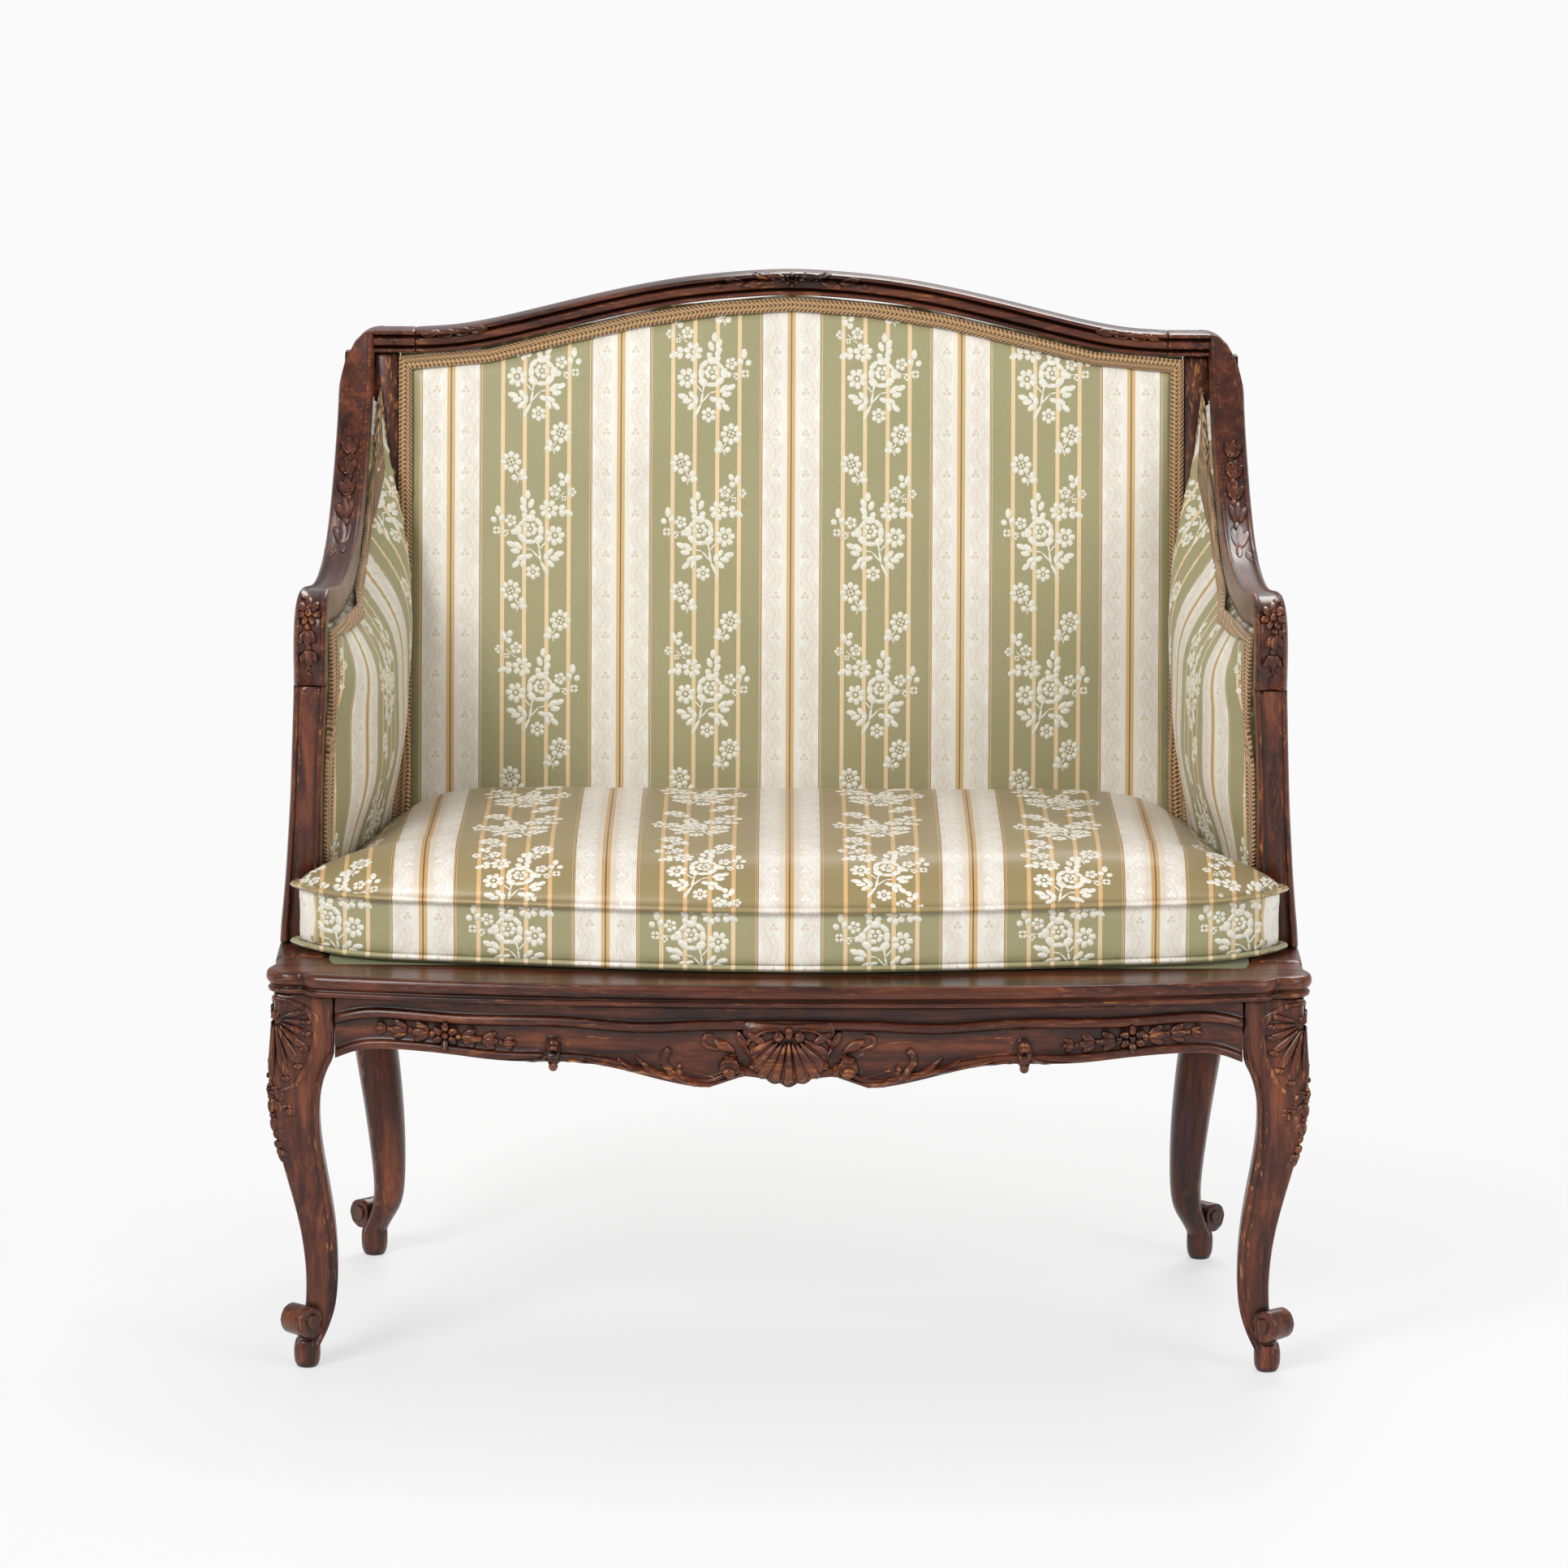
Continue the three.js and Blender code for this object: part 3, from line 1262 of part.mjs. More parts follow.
const insideEdgeShare = -0.94;
const outsideEdgeShare = 0.7;
const insideTurn = -0.12;
const sideInside = marginGrid(
  sideSurface(insideEdgeShare, panelLow, sidePlaneRear, 4 * softGap), ...sideInsideCells, padMargin);
const inwards = new THREE.Vector3(-1, insideTurn, 0).normalize();

const besideArm = [makeArmRail(2 * softGap), makePost(2 * softGap)];

function makeSidePad() {
  const front = bulged(sideInside, sidePadCrown, inwards, sideFullPower);
  const pad = sheetBody(front, shifted(sideInside, () => new THREE.Vector3(sidePadThickness, 0, 0)));
  return cutBy(pad, ...besideArm);
}

const sidePad = makeSidePad();
addPair('side_pad', sidePad, stripedSilk);

const sideOutside = marginGrid(
  sideSurface(outsideEdgeShare, coverLow, stileOuter - railSetback, 2 * softGap),
  ...sideOutsideCells, padMargin);

function makeSideCover() {
  const lining = shifted(sideOutside, () => new THREE.Vector3(-coverThickness, 0, 0));
  return cutBy(sheetBody(sideOutside, lining), ...besideArm);
}

addPair('side_cover', makeSideCover(), stripedSilk);

// Woven braid that hides the tacks

// The braid lies on the flat margin of a panel; each step holds a point of the edge and one of the margin's
// inner line.
const braidShares = [[0.04, 0], [0.96, 0], [0.96, 0.7], [0.73, 1], [0.5, 0.75], [0.27, 1], [0.04, 0.7]];
const plainBraidShares = [[0.04, 0], [0.96, 0], [0.96, 1], [0.04, 1]];

function braidAlong(steps, facing, profile, looped) {
  const count = steps.length;
  const rings = steps.map(([edge, inner], k) => {
    const before = steps[looped ? (k + count - 1) % count : Math.max(k - 1, 0)];
    const after = steps[looped ? (k + 1) % count : Math.min(k + 1, count - 1)];
    const across = inner.clone().sub(edge);
    const normal = after[1].clone().sub(before[1]).cross(across).normalize();
    if (normal.dot(facing) < 0) normal.negate();
    return profile.map(([share, height]) => edge.clone()
      .addScaledVector(across, share).addScaledVector(normal, softGap + height * braidThickness));
  });
  return loft(rings, looped);
}

// Up the first side, over the top and down the last side of a panel, then along its foot if asked.
function braidSteps(grid, withFoot) {
  const n = grid.length - 1;
  const m = grid[0].length - 1;
  const steps = [];
  for (let j = withFoot ? 1 : 0; j < m; j += 1) steps.push([grid[0][j], grid[1][j]]);
  steps.push([grid[0][m], grid[1][m - 1]]);
  for (let i = 1; i < n; i += 1) steps.push([grid[i][m], grid[i][m - 1]]);
  steps.push([grid[n][m], grid[n - 1][m - 1]]);
  for (let j = m - 1; j >= (withFoot ? 1 : 0); j -= 1) steps.push([grid[n][j], grid[n - 1][j]]);
  if (!withFoot) return steps;
  steps.push([grid[n][0], grid[n - 1][1]]);
  for (let i = n - 1; i > 0; i -= 1) steps.push([grid[i][0], grid[i][1]]);
  steps.push([grid[0][0], grid[1][1]]);
  return steps;
}

// The step beside a mitred corner shares the corner's inner point, so it is left out.
const withoutCrowding = (steps, looped) => steps.filter(([edge, inner], k) => {
  const before = steps[looped ? (k + steps.length - 1) % steps.length : Math.max(k - 1, 0)];
  const after = steps[looped ? (k + 1) % steps.length : Math.min(k + 1, steps.length - 1)];
  return ![before, after].some(([otherEdge, otherInner]) => inner.distanceTo(otherInner) < padMargin / 4
    && otherEdge.distanceTo(otherInner) > edge.distanceTo(inner));
});

function panelBraid(grid, facing, looped) {
  const steps = withoutCrowding(braidSteps(grid, looped), looped);
  return braidAlong(steps, facing, looped ? plainBraidShares : braidShares, looped);
}

const towardsBack = towardsSitter.clone().negate();
addPiece('back_braid', panelBraid(backInside, towardsSitter, false), goldBraid);
addPair('side_braid', cutBy(
  panelBraid(sideInside, inwards, false), ...besideArm,
  sidePad.clone().translate(-softGap, 0, 0)), goldBraid);
addPiece('back_outside_braid', panelBraid(backOuterSkin, towardsBack, true), goldBraid);
addPair('side_outside_braid', cutBy(panelBraid(sideOutside, sideways, true), ...besideArm), goldBraid);

// Sprung deck under the cushion

// The inside of the rails and legs, which webbing and dust cover fill.
function frameOutline() {
  const frontParts = 5;
  const half = spread(0, frontBlockInner - jointGap, frontParts).map(x => [x, frontRailInner(x)]);
  const legY = sideRailStart[1];
  const rearY = sideRailEnd[1];
  half.push([frontBlockInner - jointGap, legY], [sideRailInner(legY), legY]);
  half.push([sideRailInner(rearY), rearY], [rearBlockInner - jointGap, rearY]);
  half.push([rearBlockInner - jointGap, rearRailInner]);
  return [...half.slice(1).reverse().map(([x, y]) => [-x, y]), ...half];
}

// The opening of the seat frame, which the springs' cloth and the deck's stuffing fill.
function deckOutline() {
  const sideParts = 4;
  const frontY = openingFront + jointGap;
  const frontX = openingInner(frontMemberEnd) - jointGap;
  const sides = spread(frontMemberEnd, rearMemberStart - jointGap, sideParts);
  const half = [
    [frontX - 2 * railSetback, frontY], [frontX - railSetback, frontY + railSetback],
    ...sides.map(y => [openingInner(y) - jointGap, y]),
  ];
  return [...half, ...half.slice().reverse().map(([x, y]) => [-x, y])];
}

const webbingColumns = [-2, -1, 0, 1, 2].map(k => k * webbingPitch);
const webbingRows = [webbingFrontRow, webbingRearRow];
const springPlaces = webbingColumns.filter((x, k) => k % 2 === 0).flatMap(x => webbingRows.map(y => [x, y]));

function makeWebbing() {
  const low = webbingHeight;
  const high = webbingHeight + webbingThickness;
  const strip = (x0, x1, y0, y1) => slab([[x0, y0], [x1, y0], [x1, y1], [x0, y1]], low, high);
  const half = webbingWidth / 2;
  const strips = [
    ...webbingColumns.map(x => strip(x - half, x + half, -earRadius, seatFrameRear)),
    ...webbingRows.map(y => strip(-earSpan / 2, earSpan / 2, y - half, y + half)),
  ];
  return keptInside(joined(...strips), slab(frameOutline(), low - overrun, high + overrun));
}

// A coil that narrows to its waist, from the webbing up to the hessian.
function makeSpring(x, y) {
  const low = webbingHeight + webbingThickness + jointGap + springWireRadius;
  const high = hessianHeight - jointGap - springWireRadius;
  const stepsPerTurn = 6;
  const count = springTurns * stepsPerTurn;
  const sides = 5;
  const rings = spread(0, 1, count).map(share => {
    const angle = share * springTurns * 2 * Math.PI;
    const radius = blend(springWaistRadius, springEndRadius, Math.abs(2 * share - 1));
    const centre = new THREE.Vector3(
      x + Math.cos(angle) * radius, y + Math.sin(angle) * radius, blend(low, high, share));
    const outwards = new THREE.Vector3(Math.cos(angle), Math.sin(angle), 0);
    return Array.from({ length: sides }, (unused, k) => {
      const turn = k / sides * 2 * Math.PI;
      return centre.clone().addScaledVector(outwards, Math.cos(turn) * springWireRadius)
        .addScaledVector(upwards, Math.sin(turn) * springWireRadius);
    });
  });
  return loft(rings);
}

const dustCoverHigh = webbingHeight - jointGap;
addPiece('dust_cover', slab(frameOutline(), dustCoverHigh - dustCoverThickness, dustCoverHigh), blackCotton);
addPiece('webbing', makeWebbing(), jute);
springPlaces.forEach(([x, y], k) => addPiece(`seat_spring_${k + 1}`, makeSpring(x, y), springSteel));
addPiece('hessian', slab(deckOutline(), hessianHeight, hessianHeight + hessianThickness), jute);
addPiece('deck_pad', slab(deckOutline(), hessianHeight + hessianThickness + jointGap, seatFrameTop), linen);

// Seat cushion

// The front edge and the ear: x as a share of the ear's reach, y as a share of the way to the ear's back.
const cushionFrontShares = [
  [0, 0], [0.16, 0.024], [0.32, 0.093], [0.48, 0.187], [0.62, 0.275], [0.735, 0.348], [0.82, 0.41],
  [0.89, 0.52], [0.94, 0.66], [0.975, 0.81], [0.996, 0.94], [0.99, 0.99], [0.963, 1],
];

// The cloth over the deck stays a little inside the cushion's front edge and clear of the posts and panels.
function coverOutline() {
  const earTurn = 10;
  const reach = cushionEarReach - deckInset;
  const front = cushionFront + deckInset;
  const half = cushionFrontShares.slice(0, earTurn).map(([x, y]) => [
    x * reach, front + y * (cushionEarBack - front)]);
  const postX = postFootSide - postBaseWidth / 2 - 2 * softGap;
  const railY = postRear(seatFrameTop) + softGap;
  half.push([postX, cushionEarBack], [postX, railY], [sidePlaneFront - railSetback, railY + railSetback]);
  half.push([sidePlaneRear - softGap - railSetback, backFaceAtSeat - 2 * softGap]);
  return [...half.slice(1).reverse().map(([x, y]) => [-x, y]), ...half];
}

const deckCoverLow = seatFrameTop + jointGap;
const deckCoverHigh = deckCoverLow + deckCoverThickness;
addPiece('deck_cover', slab(coverOutline(), deckCoverLow, deckCoverHigh), linen);

function cushionHalf() {
  const depth = cushionEarBack - cushionFront;
  const front = cushionFrontShares.map(([x, y]) => [x * cushionEarReach, cushionFront + y * depth]);
  const notchShares = [[1.1, 0.05], [0.42, 0.4], [0.08, 1.1]];
  const notch = notchShares.map(([x, y]) => [
    cushionSideFront + x * cushionNotchRadius, cushionEarBack + y * cushionNotchRadius]);
  const notchLengthShare = 2.2;
  const sideStart = cushionEarBack + notchLengthShare * cushionNotchRadius;
  const sideEnd = cushionRear - cushionCornerRadius;
  const sideParts = 4;
  const side = spread(0, 1, sideParts).map(share => [
    blend(cushionSideFront, cushionSideRear, share), blend(sideStart, sideEnd, share)]);
  const cornerShares = [[0.1, 0.6], [0.35, 0.87], [0.75, 0.99]];
  const corner = cornerShares.map(([x, y]) => [
    cushionSideRear - x * cushionCornerRadius, sideEnd + y * cushionCornerRadius]);
  const rearShares = [0.66, 0.33, 0];
  const rear = rearShares.map(share => [share * cushionSideRear, cushionRear]);
  return [...front, ...notch, ...side, ...corner, ...rear];
}

const cushionPlan = (() => {
  const half = cushionHalf();
  return [...half, ...half.slice(1, -1).reverse().map(([x, y]) => [-x, y])];
})();

const cushionNormals = cushionPlan.map((p, k) => {
  const before = cushionPlan[(k + cushionPlan.length - 1) % cushionPlan.length];
  const after = cushionPlan[(k + 1) % cushionPlan.length];
  return new THREE.Vector2(after[1] - before[1], before[0] - after[0]).normalize();
});

const cushionRing = (outset, z) => cushionPlan.map(([x, y], k) => new THREE.Vector3(
  x + cushionNormals[k].x * outset, y + cushionNormals[k].y * outset, z));

const cushionLow = deckCoverHigh + jointGap;
const bandLow = cushionLow + pipingInset;
const bandHigh = cushionLow + cushionBandHeight - pipingInset;

// One ring of the crowned top, shrunk towards a point that lies a little before the cushion's middle.
const crownRingShares = [0.985, 0.92, 0.76, 0.45];

function cushionCrownRing(share) {
  const middleShare = 0.42;
  const crownPower = 8;
  const middleY = blend(cushionFront, cushionRear, middleShare);
  const z = cushionLow + cushionBandHeight + cushionCrown * (1 - share ** crownPower);
  return cushionPlan.map(([x, y]) => new THREE.Vector3(x * share, middleY + (y - middleY) * share, z));
}

function makeCushion() {
  const groove = pipingSeat + cushionPlay;
  const mouth = pipingRadius + cushionPlay;
  const grooveAt = z => [cushionRing(0, z - mouth), cushionRing(-groove, z - mouth / 2),
    cushionRing(-groove, z + mouth / 2), cushionRing(0, z + mouth)];
  return loft([
    cushionRing(-pipingRadius, cushionLow), ...grooveAt(bandLow),
    cushionRing(-cushionDrawIn, (bandLow + bandHigh) / 2), ...grooveAt(bandHigh),
    ...crownRingShares.map(cushionCrownRing),
  ]);
}

// The corded seam round the cushion, half sunk in its groove.
function makePiping(z) {
  const sides = 5;
  const outset = pipingRadius - pipingSeat;
  const rings = cushionPlan.map(([x, y], k) => Array.from({ length: sides }, (unused, s) => {
    const angle = s / sides * 2 * Math.PI;
    const reach = outset + Math.cos(angle) * pipingRadius;
    return new THREE.Vector3(
      x + cushionNormals[k].x * reach, y + cushionNormals[k].y * reach, z + Math.sin(angle) * pipingRadius);
  }));
  return loft(rings, true);
}

addPiece('seat_cushion', makeCushion(), stripedSilk);
addPiece('piping_top', makePiping(bandHigh), stripedSilk);
addPiece('piping_bottom', makePiping(bandLow), stripedSilk);

// The chair stands over the origin.
const whole = new THREE.Box3().setFromObject(chair);
const middle = whole.getCenter(new THREE.Vector3());
for (const mesh of chair.children) mesh.geometry.translate(-middle.x, -middle.y, -whole.min.z);

export default chair;
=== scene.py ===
# A wide Louis XV armchair with closed sides: carved and stained beech, striped silk with woven flowers, gold
# braid and a loose seat cushion. Metres, +X to the viewer's right, +Y to the back, +Z up.

from functools import partial
from math import atan2, ceil, copysign, cos, degrees, floor, hypot, pi, radians, sin

import bmesh
import bpy
from mathutils import Matrix, Vector
from mathutils.bvhtree import BVHTree
from mathutils.geometry import barycentric_transform


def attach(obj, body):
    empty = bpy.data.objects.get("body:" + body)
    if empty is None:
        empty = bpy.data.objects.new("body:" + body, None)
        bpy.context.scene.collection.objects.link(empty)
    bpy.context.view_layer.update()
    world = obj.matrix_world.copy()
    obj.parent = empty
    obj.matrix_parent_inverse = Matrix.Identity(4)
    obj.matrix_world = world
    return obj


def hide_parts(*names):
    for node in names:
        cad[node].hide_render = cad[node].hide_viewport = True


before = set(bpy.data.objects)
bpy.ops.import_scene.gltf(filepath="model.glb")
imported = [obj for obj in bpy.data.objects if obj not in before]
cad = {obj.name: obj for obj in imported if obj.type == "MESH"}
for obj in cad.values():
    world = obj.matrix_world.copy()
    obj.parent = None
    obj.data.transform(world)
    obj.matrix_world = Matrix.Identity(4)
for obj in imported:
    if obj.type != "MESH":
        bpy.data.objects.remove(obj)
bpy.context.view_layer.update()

MM = 0.001
TURN = 2 * pi


# Camera, floor and lights

def new_object(name, data):
    """A new object in the scene."""
    made = bpy.data.objects.new(name, data)
    bpy.context.scene.collection.objects.link(made)
    return made


def make_camera():
    data = bpy.data.cameras.new("camera")
    data.sensor_width = 36
    data.lens = 36 * 9311.8 / 1932
    data.clip_end = 60
    camera = new_object("camera", data)
    pitch, yaw, roll = radians(10.704), radians(0.031), radians(0.286)
    turn = Matrix.Rotation(-yaw, 4, "Z") @ Matrix.Rotation(pi / 2 - pitch, 4, "X") @ Matrix.Rotation(roll, 4, "Z")
    camera.matrix_world = Matrix.Translation((-0.0096, -7.300372, 1.908)) @ turn
    bpy.context.scene.camera = camera


def linear(colour):
    """A hex colour as it is seen, turned into the light values that the shader takes."""
    channels = [int(colour[i:i + 2], 16) / 255 for i in (1, 3, 5)]
    return (*[c / 12.92 if c <= 0.04045 else ((c + 0.055) / 1.055) ** 2.4 for c in channels], 1)


def add_node(tree, kind, feeds=(), **settings):
    """One shader node; kind may name its operation too. feeds gives its inputs by name or number, or as a plain
    tuple from the first one on: each is a value, the output that drives it, or a node whose first output does."""
    kind, _, operation = kind.partition(" ")
    new = tree.nodes.new("ShaderNode" + kind)
    if operation:
        new.operation = operation
    for name, value in settings.items():
        setattr(new, name, value)
    for socket, value in (feeds if isinstance(feeds, dict) else dict(enumerate(feeds))).items():
        if isinstance(value, bpy.types.Node):
            value = value.outputs[0]
        if isinstance(value, bpy.types.NodeSocket):
            tree.links.new(value, new.inputs[socket])
        else:
            new.inputs[socket].default_value = value
    return new


def new_material(name):
    """An empty material and the function that adds nodes to it."""
    material = bpy.data.materials.new(name)
    material.use_nodes = True
    material.node_tree.nodes.clear()
    return material, partial(add_node, material.node_tree)


def set_ramp(ramp, stops):
    for element, (position, colour) in zip(ramp.elements, stops):
        element.position = position
        element.color = linear(colour)
    for position, colour in stops[2:]:
        ramp.elements.new(position).color = linear(colour)


def make_studio():
    bpy.ops.mesh.primitive_plane_add(size=1, location=(0, 2, 0))
    ground = bpy.context.object
    ground.name = "studio_floor"
    ground.scale = (40, 40, 1)
    material, node = new_material("white_studio_floor")
    path = node("LightPath")
    seen = node("Math MAXIMUM", (path.outputs["Is Camera Ray"], path.outputs["Is Glossy Ray"]))
    place = node("TexCoord").outputs["Object"]
    reach = node("VectorMath MULTIPLY", (place, (40, 40, 0)))
    reach = node("VectorMath ADD", (reach, (0, 2.0, 0)))
    far = node("VectorMath LENGTH", (reach,))
    fade = node("MapRange", (far.outputs["Value"], 0.4, 1.4, 0.6, 1.0), interpolation_type="SMOOTHSTEP")
    white = node("Math MULTIPLY", (fade, seen))
    surface = node("BsdfPrincipled", {
        "Base Color": linear("#FBFBFB"), "Roughness": 0.4, "Specular IOR Level": 0.15})
    glow = node("Emission", {"Color": linear("#FAFAFA"), "Strength": 1.0})
    mix = node("MixShader", (white, surface, glow))
    node("OutputMaterial", {"Surface": mix})
    ground.data.materials.append(material)
    world = bpy.data.worlds.new("studio")
    bpy.context.scene.world = world
    world.use_nodes = True
    world.node_tree.nodes.clear()
    node = partial(add_node, world.node_tree)
    path = node("LightPath")
    seen = node("Math MAXIMUM", (path.outputs["Is Camera Ray"], path.outputs["Is Transmission Ray"]))
    room = node("Background", {"Color": linear("#F7F7F8"), "Strength": 0.55})
    backdrop = node("Background", {"Color": linear("#FAFAFA"), "Strength": 1.0})
    mix = node("MixShader", (seen, room, backdrop))
    node("OutputWorld", {"Surface": mix})
    add_lamp("key_softbox", (-2.2, -3.4, 2.9), (0, 0, 0.5), 1.5, 110)
    add_lamp("fill_softbox", (3.0, -2.6, 2.0), (0, 0, 0.5), 1.8, 42)
    add_lamp("rear_softbox", (0.6, 2.6, 3.0), (0, 0, 0.6), 1.8, 60)


def add_lamp(name, place, aim, size, power):
    data = bpy.data.lights.new(name, "AREA")
    data.size = size
    data.energy = power
    lamp = new_object(name, data)
    lamp.location = place
    lamp.rotation_euler = (Vector(aim) - Vector(place)).to_track_quat("-Z", "Y").to_euler()


# Wood

def make_wood(name, grain, dark, middle, light, shine, wear=0.8):
    """Beech, stained and varnished long ago: grain runs along one axis, hollows and crevices are painted darker as
    shade, and the edges are rubbed down to the orange wood."""
    material, node = new_material(name)
    place = node("TexCoord").outputs["Object"]
    noises = []
    for fine, coarse, more in ((70, 5, {"Detail": 6, "Roughness": 0.62, "Distortion": 0.5}), (1400, 90, {"Detail": 2}),
                               (330, 55, {"Detail": 4, "Roughness": 0.6})):
        scale = [coarse if axis == grain else fine for axis in "XYZ"]
        mapped = node("Mapping", {"Vector": place, "Scale": scale})
        noises.append(node("TexNoise", {"Vector": mapped, "Scale": 1.0, **more}))
    bend, pores, rubs = noises
    cloud = node("TexNoise", {"Vector": place, "Scale": 11, "Detail": 3})
    tone = node("ValToRGB", (bend,))
    set_ramp(tone.color_ramp, [(0.34, dark), (0.68, light), (0.5, middle)])
    shade = node("MapRange", (cloud, 0.3, 0.7, 0.7, 1.2))
    body = node("VectorMath SCALE", {0: tone, "Scale": shade})
    fleck = node("MapRange", (pores, 0.33, 0.47, 0.72, 1.0))
    body = node("VectorMath SCALE", {0: body, "Scale": fleck})
    turned = node("NewGeometry").outputs["Pointiness"]
    # painted shade: concave places, found by pointiness, are darkened towards #1C0D09
    hollow_shade = node("MapRange", (turned, 0.455, 0.495))
    body = node("Mix", {0: hollow_shade, 6: linear("#1C0D09"), 7: body}, data_type="RGBA")
    edge = node("MapRange", (turned, 0.503, 0.56, 0.12, 1.0))
    patch = node("MapRange", (rubs, 0.54, 0.64))
    wide = node("MapRange", (cloud, 0.42, 0.6, 0.25, 1.0))
    worn = edge
    for factor in (patch, wide, wear):
        worn = node("Math MULTIPLY", (worn, factor))
    body = node("Mix", {0: worn, 6: body.outputs[2], 7: linear("#BF7B3E")}, data_type="RGBA")
    # painted shade: ambient occlusion within 7 mm darkens crevices towards #150906
    crevice_shade = node("AmbientOcclusion", {"Distance": 7 * MM}, samples=3)
    depth = node("MapRange", (crevice_shade.outputs["AO"], 0.35, 0.92))
    body = node("Mix", {0: depth, 6: linear("#150906"), 7: body.outputs[2]}, data_type="RGBA")
    gloss = node("MapRange", (cloud, 0.3, 0.7, shine, shine + 0.14))
    height = node("Math ADD", (bend, pores))
    bump = node("Bump", {"Height": height, "Strength": 0.22, "Distance": 0.4 * MM})
    skin = node("BsdfPrincipled", {
        "Base Color": body.outputs[2], "Roughness": gloss, "Normal": bump, "IOR": 1.5,
        "Specular IOR Level": 0.32, "Coat Weight": 0.22, "Coat Roughness": 0.16})
    node("OutputMaterial", {"Surface": skin})
    return material


# Silk

STRIPE = 0.175  # one repeat of the stripes, measured on the seat's front


def make_silk(name, green, cream, plain, gold, middle, line, vine, shine):
    """Silk lampas: a satin ground whose warp colours make the stripes (green with four gold lines, edged in gold
    and brown, then cream with a gold middle), and a fern-like vine up both sides of each cream stripe."""
    material, node = new_material(name)
    cloth = node("UVMap", uv_map="weave")
    parts = node("SeparateXYZ", (cloth,))
    turn = node("Math MULTIPLY", (parts, 1 / STRIPE))
    phase = node("Math FRACT", (turn,))
    centred = node("Math SUBTRACT", (phase, 0.5))
    folded = node("Math ABSOLUTE", (centred,))
    stripes = node("ValToRGB", (folded,))
    stripes.color_ramp.interpolation = "CONSTANT"
    set_ramp(stripes.color_ramp, [
        (0.0, green), (0.051, gold), (0.077, green), (0.180, gold), (0.206, green), (0.313, gold), (0.3175, line),
        (0.3215, gold), (0.3255, line), (0.3295, cream), (0.446, plain), (0.4755, middle), (0.496, line)])
    # the vine: a waving stem 41 mm a wave, ferns of fine slanting threads beside it, and a trefoil in each wave
    rise = node("Math MULTIPLY", (parts.outputs[1], 1 / 0.041))
    wave = node("Math MULTIPLY", (rise, TURN))
    wave = node("Math SINE", (wave,))
    stem = node("Math MULTIPLY_ADD", (wave, -0.024, -0.386))
    away = node("Math ADD", (folded, stem))
    away = node("Math ABSOLUTE", (away,))
    stem = node("Math LESS_THAN", (away, 0.0026))
    fan = node("Math MULTIPLY_ADD", (away, 7.5, rise))
    fan = node("Math MULTIPLY", (fan, TURN * 13))
    fan = node("Math SINE", (fan,))
    ragged = node("TexNoise", {"Vector": cloth, "Scale": 300, "Detail": 1})
    fan = node("Math MULTIPLY_ADD", (ragged, 2.8, fan))
    fan = node("Math GREATER_THAN", (fan, 1.75))
    near = node("Math LESS_THAN", (away, 0.05))
    fan = node("Math MULTIPLY", (fan, near))
    fan = node("Math MAXIMUM", (fan, stem))
    part = node("Math FRACT", (rise,))
    spot_x = node("Math MULTIPLY_ADD", (folded, STRIPE * 1000, -0.414 * STRIPE * 1000))
    spot_y = node("Math MULTIPLY_ADD", (part, 41, -30.7))
    spot = node("CombineXYZ", (spot_x, spot_y))
    nearest = None
    for petal_place in ((0, 2.6, 0), (2.3, -1.2, 0), (-2.3, -1.2, 0)):
        far = node("VectorMath DISTANCE", (spot, petal_place))
        far = far.outputs["Value"]
        nearest = node("Math MINIMUM", (nearest, far)) if nearest else far
    leaf = node("Math LESS_THAN", (nearest, 2.0))
    clear = node("Math GREATER_THAN", (nearest, 2.9))
    fan = node("Math MULTIPLY", (fan, clear))
    drawn = node("Math MAXIMUM", (fan, leaf))
    starts = node("Math GREATER_THAN", (folded, 0.336))
    ends = node("Math LESS_THAN", (folded, 0.446))
    both = node("Math MULTIPLY", (starts, ends))
    drawn = node("Math MULTIPLY", (drawn, both))
    # satin threads about 0.4 mm apart along the warp, and the slower drift of dye and age
    thread_place = node("Mapping", {"Vector": cloth, "Scale": (2600, 120, 1)})
    thread = node("TexNoise", {"Vector": thread_place, "Scale": 1.0, "Detail": 2})
    cloud = node("TexNoise", {"Vector": cloth, "Scale": 9, "Detail": 3})
    tint = node("MapRange", (thread, 0.3, 0.7, 0.90, 1.07))
    age = node("MapRange", (cloud, 0.3, 0.7, 0.94, 1.03))
    tint = node("Math MULTIPLY", (tint, age))
    ground = node("Mix", {0: drawn, 6: stripes, 7: linear(vine)}, data_type="RGBA")
    ground = node("VectorMath SCALE", {0: ground.outputs[2], "Scale": tint})
    raised = node("Math MULTIPLY_ADD", (thread, 0.5, drawn))
    bump = node("Bump", {"Height": raised, "Strength": 0.25, "Distance": 0.25 * MM})
    skin = node("BsdfPrincipled", {
        "Base Color": ground, "Roughness": shine, "Normal": bump,
        "Sheen Weight": 0.12, "Sheen Roughness": 0.4, "Specular IOR Level": 0.4})
    node("OutputMaterial", {"Surface": skin})
    return material


def make_flower_silk(name, colour, shade):
    """The woven flowers: thick ribbed weft threads, about 0.6 mm apart, that lie over the satin."""
    material, node = new_material(name)
    place = node("TexCoord").outputs["Object"]
    ribs = node("Mapping", {"Vector": place, "Scale": (350, 350, 1650)})
    rib = node("TexNoise", {"Vector": ribs, "Scale": 1.0, "Detail": 2})
    # painted shade: the colour follows the ribs' height, so the lows between them are darker
    tone = node("MapRange", (rib, 0.32, 0.62))
    body = node("Mix", {0: tone, 6: linear(shade), 7: linear(colour)}, data_type="RGBA")
    bump = node("Bump", {"Height": rib, "Strength": 0.5, "Distance": 0.4 * MM})
    skin = node("BsdfPrincipled", {
        "Base Color": body.outputs[2], "Roughness": 0.6, "Normal": bump, "Sheen Weight": 0.1})
    node("OutputMaterial", {"Surface": skin})
    return material


